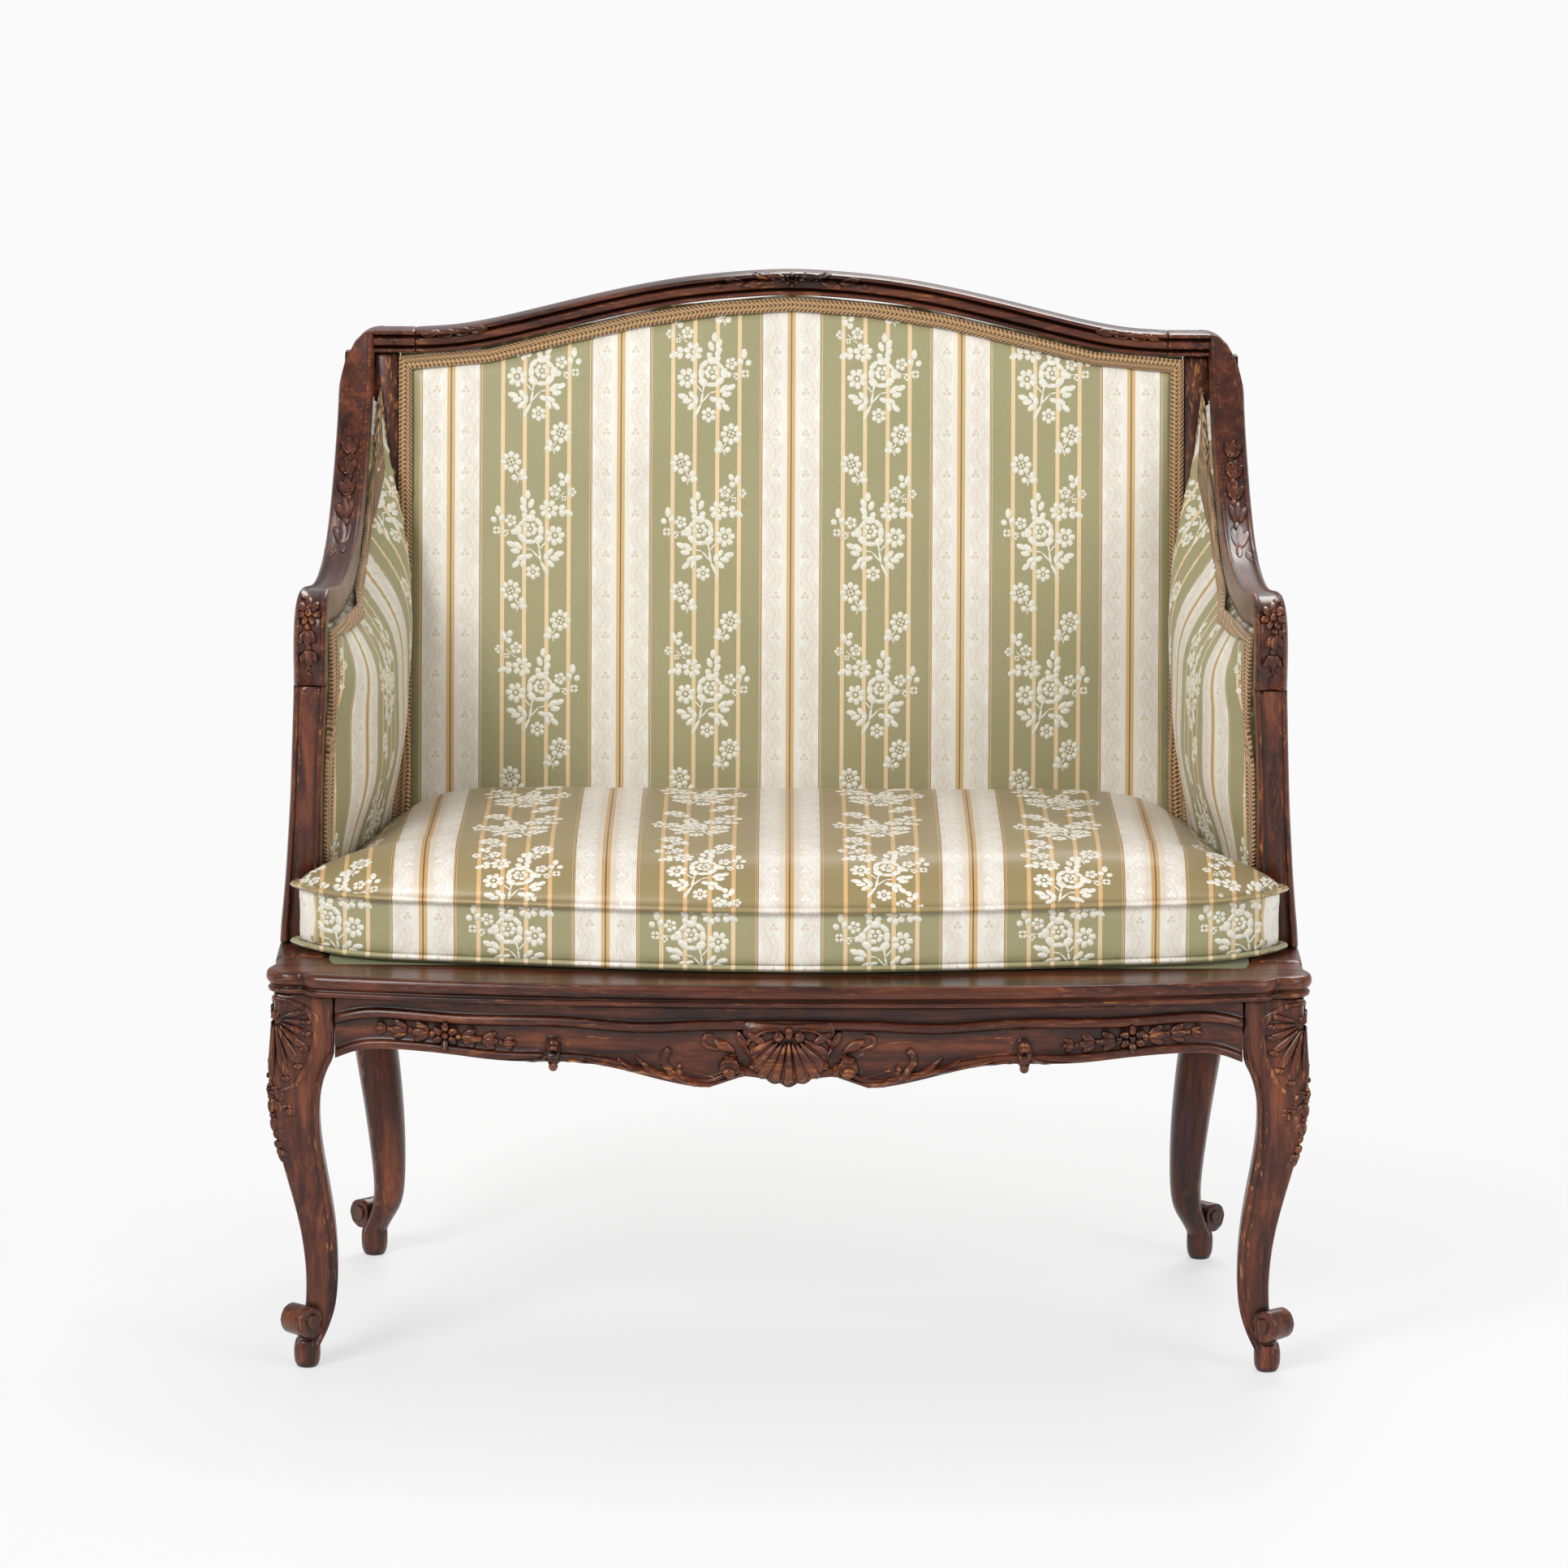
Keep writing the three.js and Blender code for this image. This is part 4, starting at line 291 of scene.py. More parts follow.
def make_braid_material():
    """Gold gimp: two silk cords side by side, each plaited, with a twist of about 4.4 mm."""
    material, node = new_material("gold_gimp_braid")
    cloth = node("UVMap", uv_map="weave")
    parts = node("SeparateXYZ", (cloth,))
    lean = node("Math ABSOLUTE", (parts,))
    slope = node("Math MULTIPLY_ADD", (lean, -0.9, parts.outputs[1]))
    wave = node("Math MULTIPLY", (slope, TURN / (4.4 * MM)))
    wave = node("Math SINE", (wave,))
    row = node("Math MULTIPLY", (lean, TURN / (5.2 * MM)))
    row = node("Math COSINE", (row,))
    wave = node("Math MULTIPLY_ADD", (row, -0.7, wave))
    rough = node("TexNoise", {"Vector": cloth, "Scale": 900, "Detail": 2})
    height = node("Math MULTIPLY_ADD", (rough, 0.9, wave))
    # painted shade: the colour follows the height, so the low parts between the cords are dark
    tone = node("MapRange", (height, -1.1, 1.2))
    colour = node("Mix", {0: tone, 6: linear("#62401F"), 7: linear("#DDB27E")}, data_type="RGBA")
    bump = node("Bump", {"Height": height, "Strength": 0.9, "Distance": 0.9 * MM})
    skin = node("BsdfPrincipled", {
        "Base Color": colour.outputs[2], "Roughness": 0.5, "Normal": bump, "Sheen Weight": 0.2})
    node("OutputMaterial", {"Surface": skin})
    return material


def make_weave(name, colour, shade, pitch, roughness):
    """A plain weave whose threads cross at the given pitch, drawn coarse enough to show."""
    material, node = new_material(name)
    place = node("TexCoord").outputs["Object"]
    parts = node("SeparateXYZ", (place,))
    waves = []
    for axis in (0, 1):
        wave = node("Math MULTIPLY", (parts.outputs[axis], pi / (pitch * MM)))
        waves.append(node("Math SINE", (wave,)))
    cross = node("Math MULTIPLY", (waves[0], waves[1]))
    slub = node("TexNoise", {"Vector": place, "Scale": 400, "Detail": 3})
    height = node("Math MULTIPLY_ADD", (slub, 1.2, cross))
    # painted shade: the colour follows the height, so the low parts of the weave are darker
    tone = node("MapRange", (height, -0.8, 1.8))
    dye = node("Mix", {0: tone, 6: linear(shade), 7: linear(colour)}, data_type="RGBA")
    bump = node("Bump", {"Height": height, "Strength": 0.5, "Distance": 0.4 * MM})
    skin = node("BsdfPrincipled", {
        "Base Color": dye.outputs[2], "Roughness": roughness, "Normal": bump, "Sheen Weight": 0.2})
    node("OutputMaterial", {"Surface": skin})
    return material


def make_steel():
    """Spring wire, copper plated once and now dull with age."""
    material, node = new_material("tarnished_spring_wire")
    place = node("TexCoord").outputs["Object"]
    spots = node("TexNoise", {"Vector": place, "Scale": 160, "Detail": 4})
    colour = node("Mix", {0: spots, 6: linear("#4A4038"), 7: linear("#8D8378")}, data_type="RGBA")
    gloss = node("MapRange", {"Value": spots, "To Min": 0.35, "To Max": 0.65})
    skin = node("BsdfPrincipled", {
        "Base Color": colour.outputs[2], "Metallic": 1.0, "Roughness": gloss})
    node("OutputMaterial", {"Surface": skin})
    return material


WOOD = {grain: make_wood(f"stained_beech_grain_{grain.lower()}", grain, "#2C120A", "#522415", "#783F24", 0.25)
        for grain in "XYZ"}
# Painted shade: near-black wood for the cut lines, standing for the shadow in a carved groove
CUT_LINE_SHADE = make_wood("painted_shade_in_cut_lines", "Z", "#160A07", "#1C0D09", "#24120C", 0.4, 0.0)
PLAIN_WOOD = make_wood("unstained_beech_sawn", "X", "#5E3F26", "#7B5636", "#94704C", 0.6, 0.2)
SILK = make_silk(
    "striped_silk_lampas", "#A59F77", "#F2EFE6", "#F0EBDF", "#EBD0A4", "#D9B882", "#80704A", "#DFD4C0", 0.4)
# Painted sheen: the seat's copy is browner for the satin's sheen on the cushion's top, its vine paler as lit there
SEAT_TOP_SHEEN_SILK = make_silk(
    "striped_silk_lampas_seat_painted_sheen", "#9D8B61", "#E2D7C8", "#E0D3C0", "#DDB680", "#CBA26A", "#6A5636", "#F8F5EE", 0.38)
FLOWERS = make_flower_silk("woven_flower_weft", "#F3F0E4", "#DAD5C0")
SEAT_FLOWERS = make_flower_silk("woven_flower_weft_seat", "#F7F4EA", "#DAD3BE")
BRAID = make_braid_material()
LINEN = make_weave("olive_linen_deck", "#8A8A5E", "#4E5033", 1.1, 0.85)
JUTE = make_weave("jute_hessian", "#B99C6B", "#6B5230", 1.8, 0.9)
COTTON = make_weave("black_cotton_cambric", "#3A3836", "#151413", 0.8, 0.9)
STEEL = make_steel()


# Meshes

def put(name, mesh, material, body, slot, *replaced):
    """Adds a finished piece to the scene: its material, the body it rides on and the solids it stands for."""
    piece = new_object(name, mesh)
    piece.data.materials.clear()
    for one in material if isinstance(material, list) else [material]:
        piece.data.materials.append(one)
    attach(piece, body)
    if replaced:
        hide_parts(*replaced)
    return piece


def merged_copy(name):
    """A CAD node's surface with shared corners and most of its triangles joined into quads."""
    mesh = bmesh.new()
    mesh.from_mesh(cad[name].data)
    bmesh.ops.remove_doubles(mesh, verts=mesh.verts, dist=0.01 * MM)
    bmesh.ops.join_triangles(
        mesh, faces=mesh.faces, cmp_seam=False, cmp_sharp=False, cmp_uvs=False, cmp_vcols=False,
        cmp_materials=False, angle_face_threshold=radians(40), angle_shape_threshold=radians(50))
    return mesh


def applied(mesh, *modifiers):
    """The mesh after some modifiers, each given as its kind and its settings."""
    data = bpy.data.meshes.new("work")
    mesh.to_mesh(data)
    mesh.free()
    work = new_object("work", data)
    bpy.ops.object.select_all(action="DESELECT")
    bpy.context.view_layer.objects.active = work
    work.select_set(True)
    for kind, settings in modifiers:
        modifier = work.modifiers.new(kind.title(), kind)
        for key, value in settings.items():
            setattr(modifier, key, value)
        bpy.ops.object.modifier_apply(modifier=modifier.name)
    result = work.data
    bpy.data.objects.remove(work)
    return result


def creased(mesh, low, high, most=0.9):
    """Marks the edges that stay crisp under subdivision, by how sharply they turn."""
    layer = mesh.edges.layers.float.get("crease_edge") or mesh.edges.layers.float.new("crease_edge")
    for edge in mesh.edges:
        if len(edge.link_faces) != 2:
            continue
        turn = degrees(edge.calc_face_angle(0))
        edge[layer] = most * min(1, max(0, (turn - low) / (high - low)))
    return mesh


def smooth_faces(data, angle=180):
    data.polygons.foreach_set("use_smooth", [True] * len(data.polygons))
    if angle < 180:
        data.set_sharp_from_angle(angle=radians(angle))
    return data


def skin_tree(data):
    return BVHTree.FromPolygons([v.co for v in data.vertices], [list(f.vertices) for f in data.polygons])


def recolour(name, material):
    """Gives a CAD node that stays visible its own material."""
    cad[name].data.materials.clear()
    cad[name].data.materials.append(material)


wood_skins = {}


def dress_wood(name, grain, levels=2):
    """A wood piece with its mouldings rounded off as a carver leaves them, or only its edges where levels is 0."""
    mesh = creased(merged_copy(name), 34, 70)
    if levels:
        data = applied(mesh, ("SUBSURF", {"levels": levels, "render_levels": levels}))
    else:
        data = applied(mesh, ("BEVEL", {"width": 1.2 * MM, "segments": 2, "limit_method": "ANGLE"}))
    smooth_faces(data, 50)
    wood_skins[name] = skin_tree(data)
    return put(name + "_finished", data, WOOD[grain], "frame", "carved_beech", name)


make_camera()
make_studio()
for name in ("front_rail", "crest_rail", "seat_frame_front", "seat_frame_back"):
    dress_wood(name, "X")
for side in ("right", "left"):
    for name, grain, levels in [
            ("front_leg", "Z", 2), ("rear_leg", "Z", 2), ("arm_post", "Z", 2), ("arm_rail", "Y", 2),
            ("side_rail", "Y", 2), ("seat_frame_side", "Y", 2), ("back_stile", "Z", 0)]:
        dress_wood(f"{name}_{side}", grain, levels)
hidden = [f"{kind}_{side}" for kind in ("side_lower_rail", "front_corner_block", "rear_corner_block")
          for side in ("right", "left")]
for name in ["rear_rail", "back_lower_rail", *hidden]:
    recolour(name, PLAIN_WOOD)


# Raised shapes: domes and strands laid on a surface, used for the carving and for the woven flowers. A surface is
# given as a function that finds the place and the outward direction for two flat coordinates.

def petal(x, y, turn, near, far, width, sharp=1.0, flare=0.0, count=10):
    """A petal's outline: it runs from near to far from the point (x, y), in the direction turn."""
    turn = radians(turn)
    points = []
    for k in range(count):
        t = TURN * k / count
        share = (1 - cos(t)) / 2
        along = near + (far - near) * share
        across = copysign(abs(sin(t)) ** sharp, sin(t)) * width * (1 - flare + 2 * flare * share)
        points.append((x + along * cos(turn) + across * sin(turn),
                       y + along * sin(turn) - across * cos(turn)))
    return points


def add_dome(mesh, find, outline, height, sink, steps):
    """A low closed swelling over an outline; steps are the rings' shares of width and height."""
    cx, cy = (sum(c) / len(outline) for c in zip(*outline))
    base = find(cx, cy)
    if base is None:
        return
    rings = []
    for share, rise in ((1, -sink), *((s, r * height) for s, r in steps)):
        ring = []
        for a, b in outline:
            for pull in (1, 0.75, 0.5, 0.25, 0):
                spot = find(cx + (a - cx) * share * pull, cy + (b - cy) * share * pull)
                if spot is not None:
                    break
            else:
                spot = base
            ring.append(mesh.verts.new(spot[0] + spot[1] * rise))
        rings.append(ring)
    foot = mesh.verts.new(base[0] - base[1] * sink * 1.4)
    top = mesh.verts.new(base[0] + base[1] * height)
    count = len(outline)
    for k in range(count):
        n = (k + 1) % count
        faces = [(rings[0][n], rings[0][k], foot), (rings[-1][k], rings[-1][n], top)]
        faces += [(low[k], low[n], high[n], high[k]) for low, high in zip(rings, rings[1:])]
        for corners in faces:
            mesh.faces.new(corners)


def add_strand(mesh, find, path, widths, height, sink, material=0):
    """A closed half-round strand along a path, widths being its half widths at the two ends and the middle."""
    rings = []
    for k, (a, b) in enumerate(path):
        spot = find(a, b)
        if spot is None:
            continue
        before, after = path[max(0, k - 1)], path[min(len(path) - 1, k + 1)]
        run = Vector((after[0] - before[0], after[1] - before[1]))
        run.normalize()
        share = k / (len(path) - 1)
        half = widths[0] * (1 - share) ** 2 + 2 * widths[1] * share * (1 - share) + widths[2] * share ** 2
        tall = height * min(1, half / max(widths))
        ring = []
        for across, rise in ((-1, -sink), (-0.8, 0.55 * tall), (0, tall), (0.8, 0.55 * tall), (1, -sink)):
            side = find(a + run.y * across * half, b - run.x * across * half) or spot
            ring.append(mesh.verts.new(side[0] + side[1] * rise))
        rings.append(ring)
    if len(rings) < 2:
        return
    for low, high in zip(rings, rings[1:]):
        for k in range(5):
            n = (k + 1) % 5
            mesh.faces.new((low[k], low[n], high[n], high[k])).material_index = material
    mesh.faces.new(rings[0][::-1]).material_index = material
    mesh.faces.new(rings[-1]).material_index = material


def relief_mesh(mesh, name):
    bmesh.ops.recalc_face_normals(mesh, faces=mesh.faces)
    data = bpy.data.meshes.new(name)
    mesh.to_mesh(data)
    mesh.free()
    return smooth_faces(data, 65)


# Carving, in millimetres

def wood_surface(name, right=(1, 0, 0), into=(0, 1, 0), origin=(0, 0, 0)):
    """The place on a wood piece behind a point of a flat drawing, and the direction out of it."""
    right, into, origin = Vector(right).normalized(), Vector(into).normalized(), Vector(origin) * MM

    def find(a, b):
        start = origin + right * a * MM + Vector((0, 0, b * MM)) - into
        spot = wood_skins[name].ray_cast(start, into)[0]
        if spot is None:
            return None
        depth = (spot - start).dot(into)
        if find.depth is not None and abs(depth - find.depth) > 12 * MM:
            return None
        find.depth = depth
        return spot, -into * MM
    find.depth = None
    return find


CARVED = ((1.0, 0.3), (0.86, 0.72), (0.5, 0.97))


def carve(mesh, find, shapes):
    """Each shape is a dome ("petal" or "ball"), a strand or a cut line, drawn as a low strand in painted shade."""
    for kind, *values in shapes:
        find.depth = None
        if kind == "petal":
            height, *rest = values
            add_dome(mesh, find, petal(*rest), height, 1.5, CARVED)
        elif kind == "ball":
            x, y, radius, height = values
            add_dome(mesh, find, petal(x, y, 0, -radius, radius, radius, count=12), height, 1.5, CARVED)
        elif kind == "strand":
            height, widths, path = values
            add_strand(mesh, find, smooth_path(path), widths, height, 1.2)
        # a cut line is a low strand in the painted shade material, slot 1
        elif kind == "cut":
            add_strand(mesh, find, smooth_path(values[0], 3), (1.1,) * 3, 0.18, 0.3, 1)


def smooth_path(points, pieces=5):
    """A smooth line through the points."""
    path = []
    for k in range(len(points) - 1):
        before, start, end, after = (Vector(points[min(max(n, 0), len(points) - 1)]) for n in (k - 1, k, k + 1, k + 2))
        for step in range(pieces):
            t = step / pieces
            place = 0.5 * (2 * start + (end - before) * t + (2 * before - 5 * start + 4 * end - after) * t * t
                           + (3 * start - before - 3 * end + after) * t ** 3)
            path.append((place.x, place.y))
    return [*path, tuple(points[-1])]


def mirrored(shapes):
    """The same shapes on the other side of the drawing's middle."""
    turned = []
    for kind, *values in shapes:
        if kind == "petal":
            height, x, y, turn, *rest = values
            turned.append((kind, height, -x, y, 180 - turn, *rest))
        elif kind == "ball":
            turned.append((kind, -values[0], *values[1:]))
        else:
            turned.append((kind, *values[:-1], [(-a, b) for a, b in values[-1]]))
    return turned


def rosette(x, y, radius, petals, height, first=90):
    """A carved flower: its petals and a domed middle."""
    ring = [("petal", height, x, y, first + 360 * k / petals, 0.22 * radius, radius, radius * 1.9 / petals, 0.8)
            for k in range(petals)]
    return [*ring, ("ball", x, y, 0.3 * radius, height * 1.35)]


def bellflower(x, y, turn, size, height):
    """A husk of three pointed leaves on a bead."""
    side = radians(turn)
    return [("petal", height * 0.8, x, y, turn + 30, 0, 0.95 * size, 0.24 * size, 1.3),
            ("petal", height * 0.8, x, y, turn - 30, 0, 0.95 * size, 0.24 * size, 1.3),
            ("petal", height * 1.15, x, y, turn, 0, 1.05 * size, 0.25 * size, 1.3),
            ("ball", x - 0.12 * size * cos(side), y - 0.12 * size * sin(side), 0.2 * size, height)]


def finish_carving(name, mesh, grain, other=None):
    """Adds the carving as a piece, and its mirror image on the other side of the chair."""
    if other:
        twin = mesh.copy()
        for vertex in twin.verts:
            vertex.co.x = -vertex.co.x
        put(other, relief_mesh(twin, other), [WOOD[grain], CUT_LINE_SHADE], "frame", "carved_beech")
    put(name, relief_mesh(mesh, name), [WOOD[grain], CUT_LINE_SHADE], "frame", "carved_beech")


def face_edges(name, heights, start, slope=-0.35):
    """The left and right edges of a piece's front face at some heights, in millimetres."""
    rows = []
    for height in heights:
        seen = []
        for step in range(70):
            x = start + 2 * step
            spot, normal, _, _ = wood_skins[name].ray_cast(Vector((x * MM, -1, height * MM)), Vector((0, 1, 0)))
            if spot is not None and normal.y < slope:
                seen.append(x)
        if seen:
            rows.append((height, min(seen), max(seen)))
    return rows


# The front rail: a shell between scrolls in the middle, a spray of flowers and leaves on each side.
rail = wood_surface("front_rail")
half_rail = [
    *[("petal", height, 0, 350, turn, near, far, width, *tip) for height, turn, near, far, width, *tip in [
        (5.2, -105, 10, 58, 4.6, 0.6, 0.55), (5.0, -120, 12, 57, 4.6, 0.6, 0.55), (4.6, -135, 13, 53, 4.2, 0.6, 0.55),
        (4.2, -150, 14, 44, 3.6, 0.6, 0.5), (3.0, -97.5, 16, 55, 2.6, 0.8, 0.5), (3.0, -112.5, 18, 54, 2.8, 0.8, 0.5),
        (2.8, -127.5, 18, 52, 2.8, 0.8, 0.5), (2.6, -142.5, 18, 46, 2.6, 0.8, 0.5)]],
    ("ball", -10, 345, 5.6, 6),
    ("strand", 4.5, (2.2, 3.6, 2), [(-10, 351), (-22, 350), (-34, 344), (-41, 335), (-37, 328), (-30, 331)]),
    ("petal", 4.0, -22, 338, 152, 0, 22, 4.6, 1.2), ("petal", 4.4, -40, 331, 118, 0, 20, 4.2, 1.3),
    ("petal", 3.6, -50, 327, 150, 0, 26, 5.2, 1.4), ("petal", 3.4, -48, 324, 192, 0, 15, 3.8, 1.4),
    ("strand", 3.4, (1.5, 4, 1.5), [(-58, 331), (-72, 331), (-81, 336), (-79, 343), (-71, 344)]),
    ("ball", -56.5, 309, 6.4, 5.2),
    ("strand", 5.0, (3.2, 5.0, 2.4), [
        (-47, 317), (-45, 309), (-49, 301), (-58, 296.5), (-72, 294.5), (-88, 297), (-100, 303), (-105, 310),
        (-102, 315)]),
    ("strand", 5.2, (3.2, 5, 4.4), [(-96, 299), (-109, 306), (-117, 315), (-118, 324), (-113, 330)]),
    ("strand", 4.4, (2.6, 4.2, 2), [(-110, 302), (-125, 308), (-137, 315), (-146, 323)]),
    ("strand", 3.8, (2.4, 3.8, 1.6), [(-124, 306), (-140, 310), (-153, 315), (-162, 321)]),
    ("strand", 3.2, (2.4, 3.2, 1.4), [(-140, 309), (-158, 311), (-176, 315), (-194, 320)]),
    ("strand", 3.4, (1.4, 3.4, 2.2), [(-176, 312), (-192, 315), (-206, 317), (-216, 314)]),
    ("ball", -224, 326, 8.2, 4.6), ("ball", -223, 316, 6.0, 3.6),
    ("strand", 4.0, (1.5, 3.6, 3.4), [(-268, 315), (-250, 315), (-237, 317), (-230, 323)]),
    ("cut", [(-74, 329), (-82.3, 335.7), (-100, 337), (-140, 338.5), (-180, 340), (-209.5, 341)]),
    ("cut", [(-209.5, 341), (-212.5, 337), (-209, 333.5), (-212.5, 330), (-209.5, 326)]),
    ("cut", [(-209.5, 326), (-195, 325), (-178, 323)]),
    ("cut", [(-74, 329), (-66, 323), (-60, 321), (-66, 316), (-69, 309), (-69, 304), (-85, 306), (-96, 310)]),
    *rosette(-326.8, 338, 12.5, 6, 5.0),
    *[("ball", -326.8 + 10.5 * cos(k), 338 + 10.5 * sin(k), 3.0, 4.8)
      for k in (0.4, 1.5, 2.6, 3.6, 4.7, 5.7)],
    *[shape for spot in [
        (-341, 340, 176, 19, 4.6), (-362, 342, 178, 18, 4.6), (-382, 342.5, 180, 12, 3.8), (-312, 337, -4, 18, 4.6),
        (-292, 335.5, -5, 17, 4.4), (-272, 333.5, -4, 13, 3.8)] for shape in bellflower(*spot)],
    ("ball", -358, 341.5, 2.2, 3.8), ("ball", -295, 336, 2.2, 3.8),
]
carving = bmesh.new()
for shapes in (half_rail, mirrored(half_rail)):
    carve(carving, rail, shapes)
carve(carving, rail, [("petal", 5.8, 0, 350, -90, 8, 59, 4.4, 0.6, 0.5), ("petal", 4.8, 0, 347, 90, -6, 8, 4.5, 0.8)])
finish_carving("front_rail_carving", carving, "X")

# The knees of the front legs: a palmette in a rim, and below it a flower, husks and a bud.
knee = wood_surface("front_leg_left", (1, -1, 0), (1, 1, 0), (-464.5, -240.9, 0))
half_knee = [("petal", 4.2, 0, 349, turn, 6, reach, 2.5, 0.8, 0.55) for turn, reach in [
    (17, 22), (-8, 25), (-31, 29), (-51, 37), (-66, 49), (-78, 58)]]
half_knee += [("ball", reach * cos(radians(turn)), 349 + reach * sin(radians(turn)), 3.0, 5)
              for turn, reach in [(17, 21), (-8, 24), (-31, 28), (-51, 37), (-66, 50), (-78, 59)]]
half_knee += [
    ("strand", 3.8, (2.4, 3.0, 1.6), [
        (0, 368), (12, 366), (24, 357), (29.5, 342), (29, 320), (24.5, 300), (18, 285), (9, 279)]),
    ("strand", 3.2, (1.0, 3.0, 1.8), [(6, 236), (4.5, 250), (8, 262), (14, 264), (16, 258)]),
    ("ball", 14.5, 258.5, 3.8, 4.2), ("petal", 3.6, 3, 282, -60, 0, 15, 3.6, 1.2)]
carving = bmesh.new()
for shapes in (half_knee, mirrored(half_knee)):
    carve(carving, knee, shapes)
inner = face_edges("front_leg_left", range(70, 345, 14), -500, -0.2)
carve(carving, wood_surface("front_leg_left"), [
    ("strand", 2.4, (2.6, 2.8, 2.2), [(row[2] - 3.4, row[0]) for row in inner]),
    ("cut", [(row[2] - 8.5, row[0]) for row in inner])])
carve(carving, knee, [
    ("petal", 4.6, 0, 349, -90, 6, 61, 2.5, 0.8, 0.5), ("ball", 0, 352, 4.5, 5), *rosette(0, 281, 6.5, 5, 5),
    *bellflower(0, 272, -90, 15, 4.6), *bellflower(0, 253, -90, 14, 4.2), ("petal", 3.4, 0, 240, -90, 0, 9, 2.4, 1.3),
    ("ball", 0, 225, 4.4, 4.6), ("petal", 3.4, 0, 221, -90, 0, 14, 3.4, 1.3),
    ("petal", 3.6, 0, 221, -55, 0, 11, 2.6, 1.3), ("petal", 3.6, 0, 221, -125, 0, 11, 2.6, 1.3)])
finish_carving("front_leg_left_carving", carving, "Z", "front_leg_right_carving")

# The arms: a flower and husks on the knob, and on the post below it a long sunk panel, outlined in painted shade.
post, knob = wood_surface("arm_post_left"), wood_surface("arm_rail_left")
carving = bmesh.new()
carve(carving, knob, [
    *rosette(-459.7, 729, 12.5, 7, 4.2), ("petal", 3.6, -459, 740, 90, 0, 13, 5, 1.2),
    ("petal", 3.4, -461, 740, 130, 0, 13, 4, 1.2), ("petal", 3.4, -457, 740, 50, 0, 13, 4, 1.2),
    *bellflower(-460.5, 714, -90, 17, 4.0), *bellflower(-459.5, 694, -90, 17, 4.0),
    ("strand", 3.0, (3.2, 2.2, 0.8), [(-459.5, 677), (-462, 671), (-457.5, 666), (-460, 660)])])
carve(carving, post, [
    ("cut", [(-449, 648), (-454, 647.5), (-460, 643), (-464, 647.5), (-468.5, 648)]),
    ("cut", [(-468.5, 648), (-470, 620), (-473, 560), (-476.5, 500), (-481, 440)]),
    ("cut", [(-449, 648), (-450, 620), (-451.5, 560), (-454.5, 500), (-459, 440)]),
])
finish_carving("arm_post_left_carving", carving, "Z", "arm_post_right_carving")

# The wings: a chain of husks between two cut lines.
wing = wood_surface("arm_rail_left")
carving = bmesh.new()
edges = face_edges("arm_rail_left", range(748, 905, 10), -500)
for start in range(752, 842, 18):
    near = min(edges, key=lambda row: abs(row[0] - start))
    carve(carving, wing, bellflower((near[1] + near[2]) / 2, start, 100, 17, 4.2))
for inset, pick in ((6, 1), (-6, 2)):
    carve(carving, wing, [("cut", [(row[pick] + inset, row[0]) for row in edges])])
finish_carving("arm_rail_left_carving", carving, "Y", "arm_rail_right_carving")

# The crest: a small spray of leaves along the top in the middle, and leaves over each corner.
crest = wood_surface("crest_rail")


def crest_top(x):
    """The height of the crest's upper edge, in millimetres."""
    return max((height for height in range(880, 1002, 2) if crest(x, height)), default=990)


half_crest = [
    ("petal", 4.2, 0, 991, 12, 5, 30, 5, 1.2), ("petal", 4.0, 22, 991, 24, 0, 22, 4, 1.3),
    ("petal", 3.8, 26, 990, -14, 0, 26, 4.4, 1.3), ("petal", 3.4, 46, 988, 8, 0, 24, 3.8, 1.3),
    ("ball", 74, 985, 3, 3.2)]
for x in (318, 334, 350, 366):
    crest.depth = None
    half_crest += [("petal", 4.0, x, crest_top(x) - 4, 172, -10, 12, 4.4, 1.2)]
carving = bmesh.new()
for shapes in (half_crest, mirrored(half_crest)):
    carve(carving, crest, shapes)
carve(carving, crest, rosette(0, 991, 8, 6, 4.6))
finish_carving("crest_rail_carving", carving, "X")


# Soft pieces

def lay_cloth(data, rule):
    """Writes the cloth's own coordinates, in metres: rule gives them for a corner's place and its face."""
    layer = data.uv_layers.get("weave") or data.uv_layers.new(name="weave")
    for face in data.polygons:
        for loop in face.loop_indices:
            layer.data[loop].uv = rule(data.vertices[data.loops[loop].vertex_index].co, face)


SWELL = 3.0 * MM  # the most that a pad's skin moves in the simulation


def soft_body(name, voxel, fuller=None):
    """A stuffed piece: the CAD solid made smooth, drawn in by 1 mm, blown up by cloth simulation and held to SWELL."""
    mesh = creased(merged_copy(name), 50, 80, 0.95)
    data = applied(
        mesh, ("SUBSURF", {"levels": 2, "render_levels": 2}),
        ("REMESH", {"mode": "VOXEL", "voxel_size": voxel * MM, "use_smooth_shade": True}))
    if fuller:
        for vertex in data.vertices:
            vertex.co += fuller(vertex.co, vertex.normal)
    work = new_object("stuffing", data)
    rest = [v.co.copy() for v in data.vertices]
    normals = [v.normal.copy() for v in data.vertices]
    for v, normal in zip(data.vertices, normals):
        v.co -= normal * MM
    cloth = work.modifiers.new("Cloth", "CLOTH")
    cloth.settings.use_pressure = True
    cloth.settings.uniform_pressure_force = 4
    cloth.settings.effector_weights.gravity = 0
    cloth.settings.quality = 4
    cloth.point_cache.frame_start = 1
    cloth.point_cache.frame_end = 20
    scene = bpy.context.scene
    for step in range(1, 21):
        scene.frame_set(step)
    moved = work.evaluated_get(bpy.context.evaluated_depsgraph_get()).to_mesh()
    places = [v.co.copy() for v in moved.vertices]
    work.modifiers.remove(cloth)
    scene.frame_set(1)
    for v, place, base in zip(data.vertices, places, rest):
        step = place - base
        v.co = base + (step if step.length <= SWELL else step * (SWELL / step.length))
    bpy.data.objects.remove(work)
    return data


